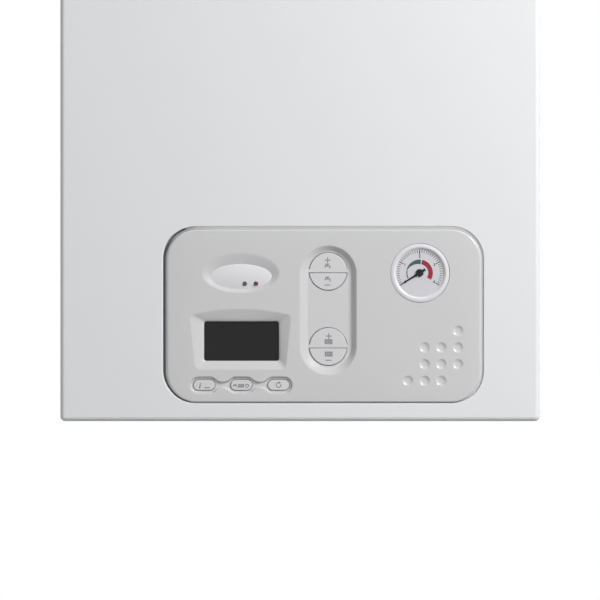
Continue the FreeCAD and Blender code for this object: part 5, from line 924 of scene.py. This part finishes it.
def band(centre, outer, inner, start, end, depth, ease=1.0, count=48):
    """A band between two radii, each of which may change from one angle to the other with a power of the
    way gone. Angles are in degrees, counter-clockwise from the right."""
    angle = np.radians(np.linspace(start, end, count))
    way = np.stack([np.cos(angle), np.sin(angle)], axis=1)
    share = np.linspace(0, 1, count)[:, None] ** ease
    radii = [ends[0] + share * (ends[1] - ends[0]) for ends in (outer, inner)]
    return strip(on_panel(np.array(centre) + np.stack([radius * way for radius in radii]), depth), False)


def numeral(text, height, centre, depth):
    """A numeral of a height, from the font's filled outline, as triangles."""
    curve = bpy.data.curves.new("numeral", "FONT")
    curve.body = text
    curve.offset = NUMERAL_WEIGHT
    carrier = bpy.data.objects.new("numeral", curve)
    mesh = bpy.data.meshes.new_from_object(carrier)
    points = np.empty(3 * len(mesh.vertices))
    mesh.vertices.foreach_get("co", points)
    mesh.calc_loop_triangles()
    triangles = np.empty(3 * len(mesh.loop_triangles), dtype=np.int32)
    mesh.loop_triangles.foreach_get("vertices", triangles)
    flat = points.reshape(-1, 3)[:, :2]
    flat -= (flat.min(axis=0) + flat.max(axis=0)) / 2
    flat *= height / np.ptp(flat[:, 1])
    bpy.data.objects.remove(carrier)
    bpy.data.curves.remove(curve)
    bpy.data.meshes.remove(mesh)
    return on_panel(flat + np.array(centre), depth), triangles.reshape(-1, 3)


print("print makers ready")

# %% [markdown]
# The gauge reads 0 to 4. Its scale runs clockwise through 244 degrees, with ten parts to each unit. A thin
# band marks the low end, a green one widens over the working range, and a red one lies above it.

# %% Gauge dial
DIAL_START = 212.0
DIAL_UNIT = 61.0
DIAL_PARTS = 40
NUMERAL_RADIUS = 14.0
NUMERAL_HEIGHT = 2.5
TICK_END = 19.0
MAJOR_TICK = (15.9, 0.75)
MINOR_TICK = (17.0, 0.45)
BANDS = {
    "dial_red_band": ("ink_red", (11.05, 11.05), (7.2, 7.2), -32, 79, 1.0),
    "dial_green_band": ("ink_green", (11.1, 11.1), (7.2, 10.6), 84, 168, 1.6),
    "dial_low_band": ("ink_plum", (11.1, 11.1), (10.2, 10.2), 169, 205, 1.0),
}

dial_depth = (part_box("gauge_dial")[0].y - panel.y) / MM - INK
angle = np.radians(DIAL_START - np.arange(DIAL_PARTS + 1) * DIAL_UNIT / 10)
way = np.stack([np.cos(angle), np.sin(angle)], axis=1)
major = np.arange(DIAL_PARTS + 1) % 10 == 0
ticks = []
for chosen, (start, width) in ((major, MAJOR_TICK), (~major, MINOR_TICK)):
    lines = np.concatenate([start * way[chosen], TICK_END * way[chosen]], axis=1)
    ticks.append(bars(lines, width, GAUGE, dial_depth))
for count in range(5):
    turn = math.radians(DIAL_START - count * DIAL_UNIT)
    spot = np.array(GAUGE) + NUMERAL_RADIUS * np.array([math.cos(turn), math.sin(turn)])
    ticks.append(numeral(str(count), NUMERAL_HEIGHT, spot, dial_depth))
piece("dial_scale", ticks, "pointer_black", ink=inks["ink_black"])
for name, (ink, outer, inner, start, end, ease) in BANDS.items():
    stripe = band(GAUGE, outer, inner, start, end, dial_depth, ease)
    piece(name, [stripe], "dial_print", ink=inks[ink])

# %% [markdown]
# The keys carry a plus, a minus and small pictures: a tap for hot water, a radiator for heating, and signs
# for information, the choice of mode and starting again.

# %% Key marks
KEY_TOP = (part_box("hot_water_plus_button")[0].y - panel.y) / MM - INK
PILL_TOP = (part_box("info_button")[0].y - panel.y) / MM - INK
PLUS = ((-2.0, 0, 2.0, 0), (0, -2.0, 0, 2.0))
MINUS = ((-2.0, 0, 2.0, 0),)
TAP = ((-1.8, 0.1, 1.2, 0.1), (1.2, 0.1, 1.8, -0.5), (1.8, -0.5, 1.8, -1.6), (-0.3, 0.1, -0.3, 1.4),
       (-1.3, 1.6, 0.7, 1.6), (-2.1, -0.7, -2.1, 0.9))
RADIATOR = ((-2.6, -1.7, -2.6, 1.7), (-1.3, -1.7, -1.3, 1.7), (0, -1.7, 0, 1.7), (1.3, -1.7, 1.3, 1.7),
            (2.6, -1.7, 2.6, 1.7), (-2.9, 1.0, 2.9, 1.0), (-2.9, -1.0, 2.9, -1.0))
FINE = 0.95
BOLD = 0.85

KEY_MARKS = {
    "hot_water_plus_button": ((PLUS, BOLD, (3.4, 45.1)), (TAP, FINE, (3.6, 40.1))),
    "hot_water_minus_button": ((TAP, FINE, (3.7, 29.4)), (MINUS, BOLD, (3.3, 24.4))),
    "heating_plus_button": ((PLUS, BOLD, (4.4, -18.2)), (RADIATOR, FINE, (4.2, -22.85))),
    "heating_minus_button": ((RADIATOR, FINE, (4.4, -33.2)), (MINUS, BOLD, (4.2, -38.4))),
}

for name, strokes in KEY_MARKS.items():
    patches = [bars(lines, width, spot, KEY_TOP) for lines, width, spot in strokes]
    piece(name + "_mark", patches, "pointer_black", name + "_body", inks["ink_grey"])

# %% Pill marks
ICON_SHARE = 0.75
ICON_STROKE = 0.5
LETTER = ((-0.4, -1.9, 0.1, 0.6), (0.35, 1.7, 0.37, 1.8))
LETTER_SPOT = (-3.4, -0.6)
DOTS = ((-1.3, 0, -0.9, 0), (0.2, 0, 0.6, 0), (1.7, 0, 2.1, 0))
DOTS_SPOT = (2.1, -2.2)
TAP_SPOT = (-4.9, -0.6)
RADIATOR_SPOT = (-0.2, -0.6)
RING_SPOT = (4.7, -0.6)
RING_RADII = ((1.6, 1.6), (1.0, 1.0))
ARROW_RADII = ((2.3, 2.3), (1.7, 1.7))
ARROW_TURN = (90, 380)
ARROW_HEAD = ((0.1, 3.1), (0.1, 0.9), (1.7, 2.0))

reset, mode, info = np.stack([PILL_PLACES, np.full(len(PILL_PLACES), PILL_V)], axis=1)
tap, radiator = np.array(TAP) * ICON_SHARE, np.array(RADIATOR) * ICON_SHARE
head = on_panel(reset + ARROW_HEAD, PILL_TOP - 2 * INK_STEP)
pill_marks = {
    "info_button": [bars(LETTER, BOLD, info + LETTER_SPOT, PILL_TOP),
                    bars(DOTS, BOLD, info + DOTS_SPOT, PILL_TOP)],
    "mode_button": [bars(tap, ICON_STROKE, mode + TAP_SPOT, PILL_TOP),
                    bars(radiator, ICON_STROKE, mode + RADIATOR_SPOT, PILL_TOP),
                    band(mode + RING_SPOT, *RING_RADII, 0, 360, PILL_TOP)],
    "reset_button": [band(reset, *ARROW_RADII, *ARROW_TURN, PILL_TOP), (head, np.array([[0, 1, 2]]))],
}
for name, patches in pill_marks.items():
    piece(name + "_mark", patches, "pointer_black", name + "_body", inks["ink_slate"])

# %% [markdown]
# ## Pipe threads
# The five connections under the boiler are male pipe threads. The solids there are plain cylinders, so each
# gets a sleeve whose radius swings once for every pitch along the axis and once for every turn round it. A
# stub is a place across the boiler, a radius and a metal.

# %% Threads
THREAD_PITCH = 1.8
THREAD_HEIGHT = 0.7
THREAD_FADE = 1.6
THREAD_SPAN = (8.6, 30.4)
THREAD_STAND = 0.02
THREAD_ROOT = 0.3
THREAD_Y = -103.0
THREAD_RINGS = 121
THREAD_POINTS = 72
STUBS = ((-140.0, 13.2, "brass"), (-70.0, 10.5, "copper"), (0.0, 13.2, "aluminium"), (70.0, 10.5, "copper"),
         (140.0, 13.2, "brass"))


def thread(place, radius):
    """A closed sleeve round the Z axis. Its radius is the stub's plus half a cosine wave of the phase, height
    over pitch less angle over a full turn, which fades to nothing at both ends. An inner wall, a little way
    inside the stub, closes it."""
    height = np.linspace(*THREAD_SPAN, THREAD_RINGS)
    height = np.concatenate([height[:1], height, height[-1:], height[:1]])[:, None]
    angle = np.linspace(0, 2 * np.pi, THREAD_POINTS, endpoint=False)[None, :]
    swing = 0.5 - 0.5 * np.cos(2 * np.pi * height / THREAD_PITCH - angle)
    ends = np.minimum(height - THREAD_SPAN[0], THREAD_SPAN[1] - height)
    reach = radius + THREAD_STAND + THREAD_HEIGHT * swing * np.clip(ends / THREAD_FADE, 0, 1)
    reach[[0, -2, -1]] = radius - THREAD_ROOT
    parts = (place + reach * np.cos(angle), THREAD_Y + reach * np.sin(angle), height + 0 * angle)
    return strip(np.stack(parts, axis=-1) * MM)


for number, (place, radius, metal) in enumerate(STUBS):
    piece("thread_" + str(number + 1), [thread(place, radius)], metal)
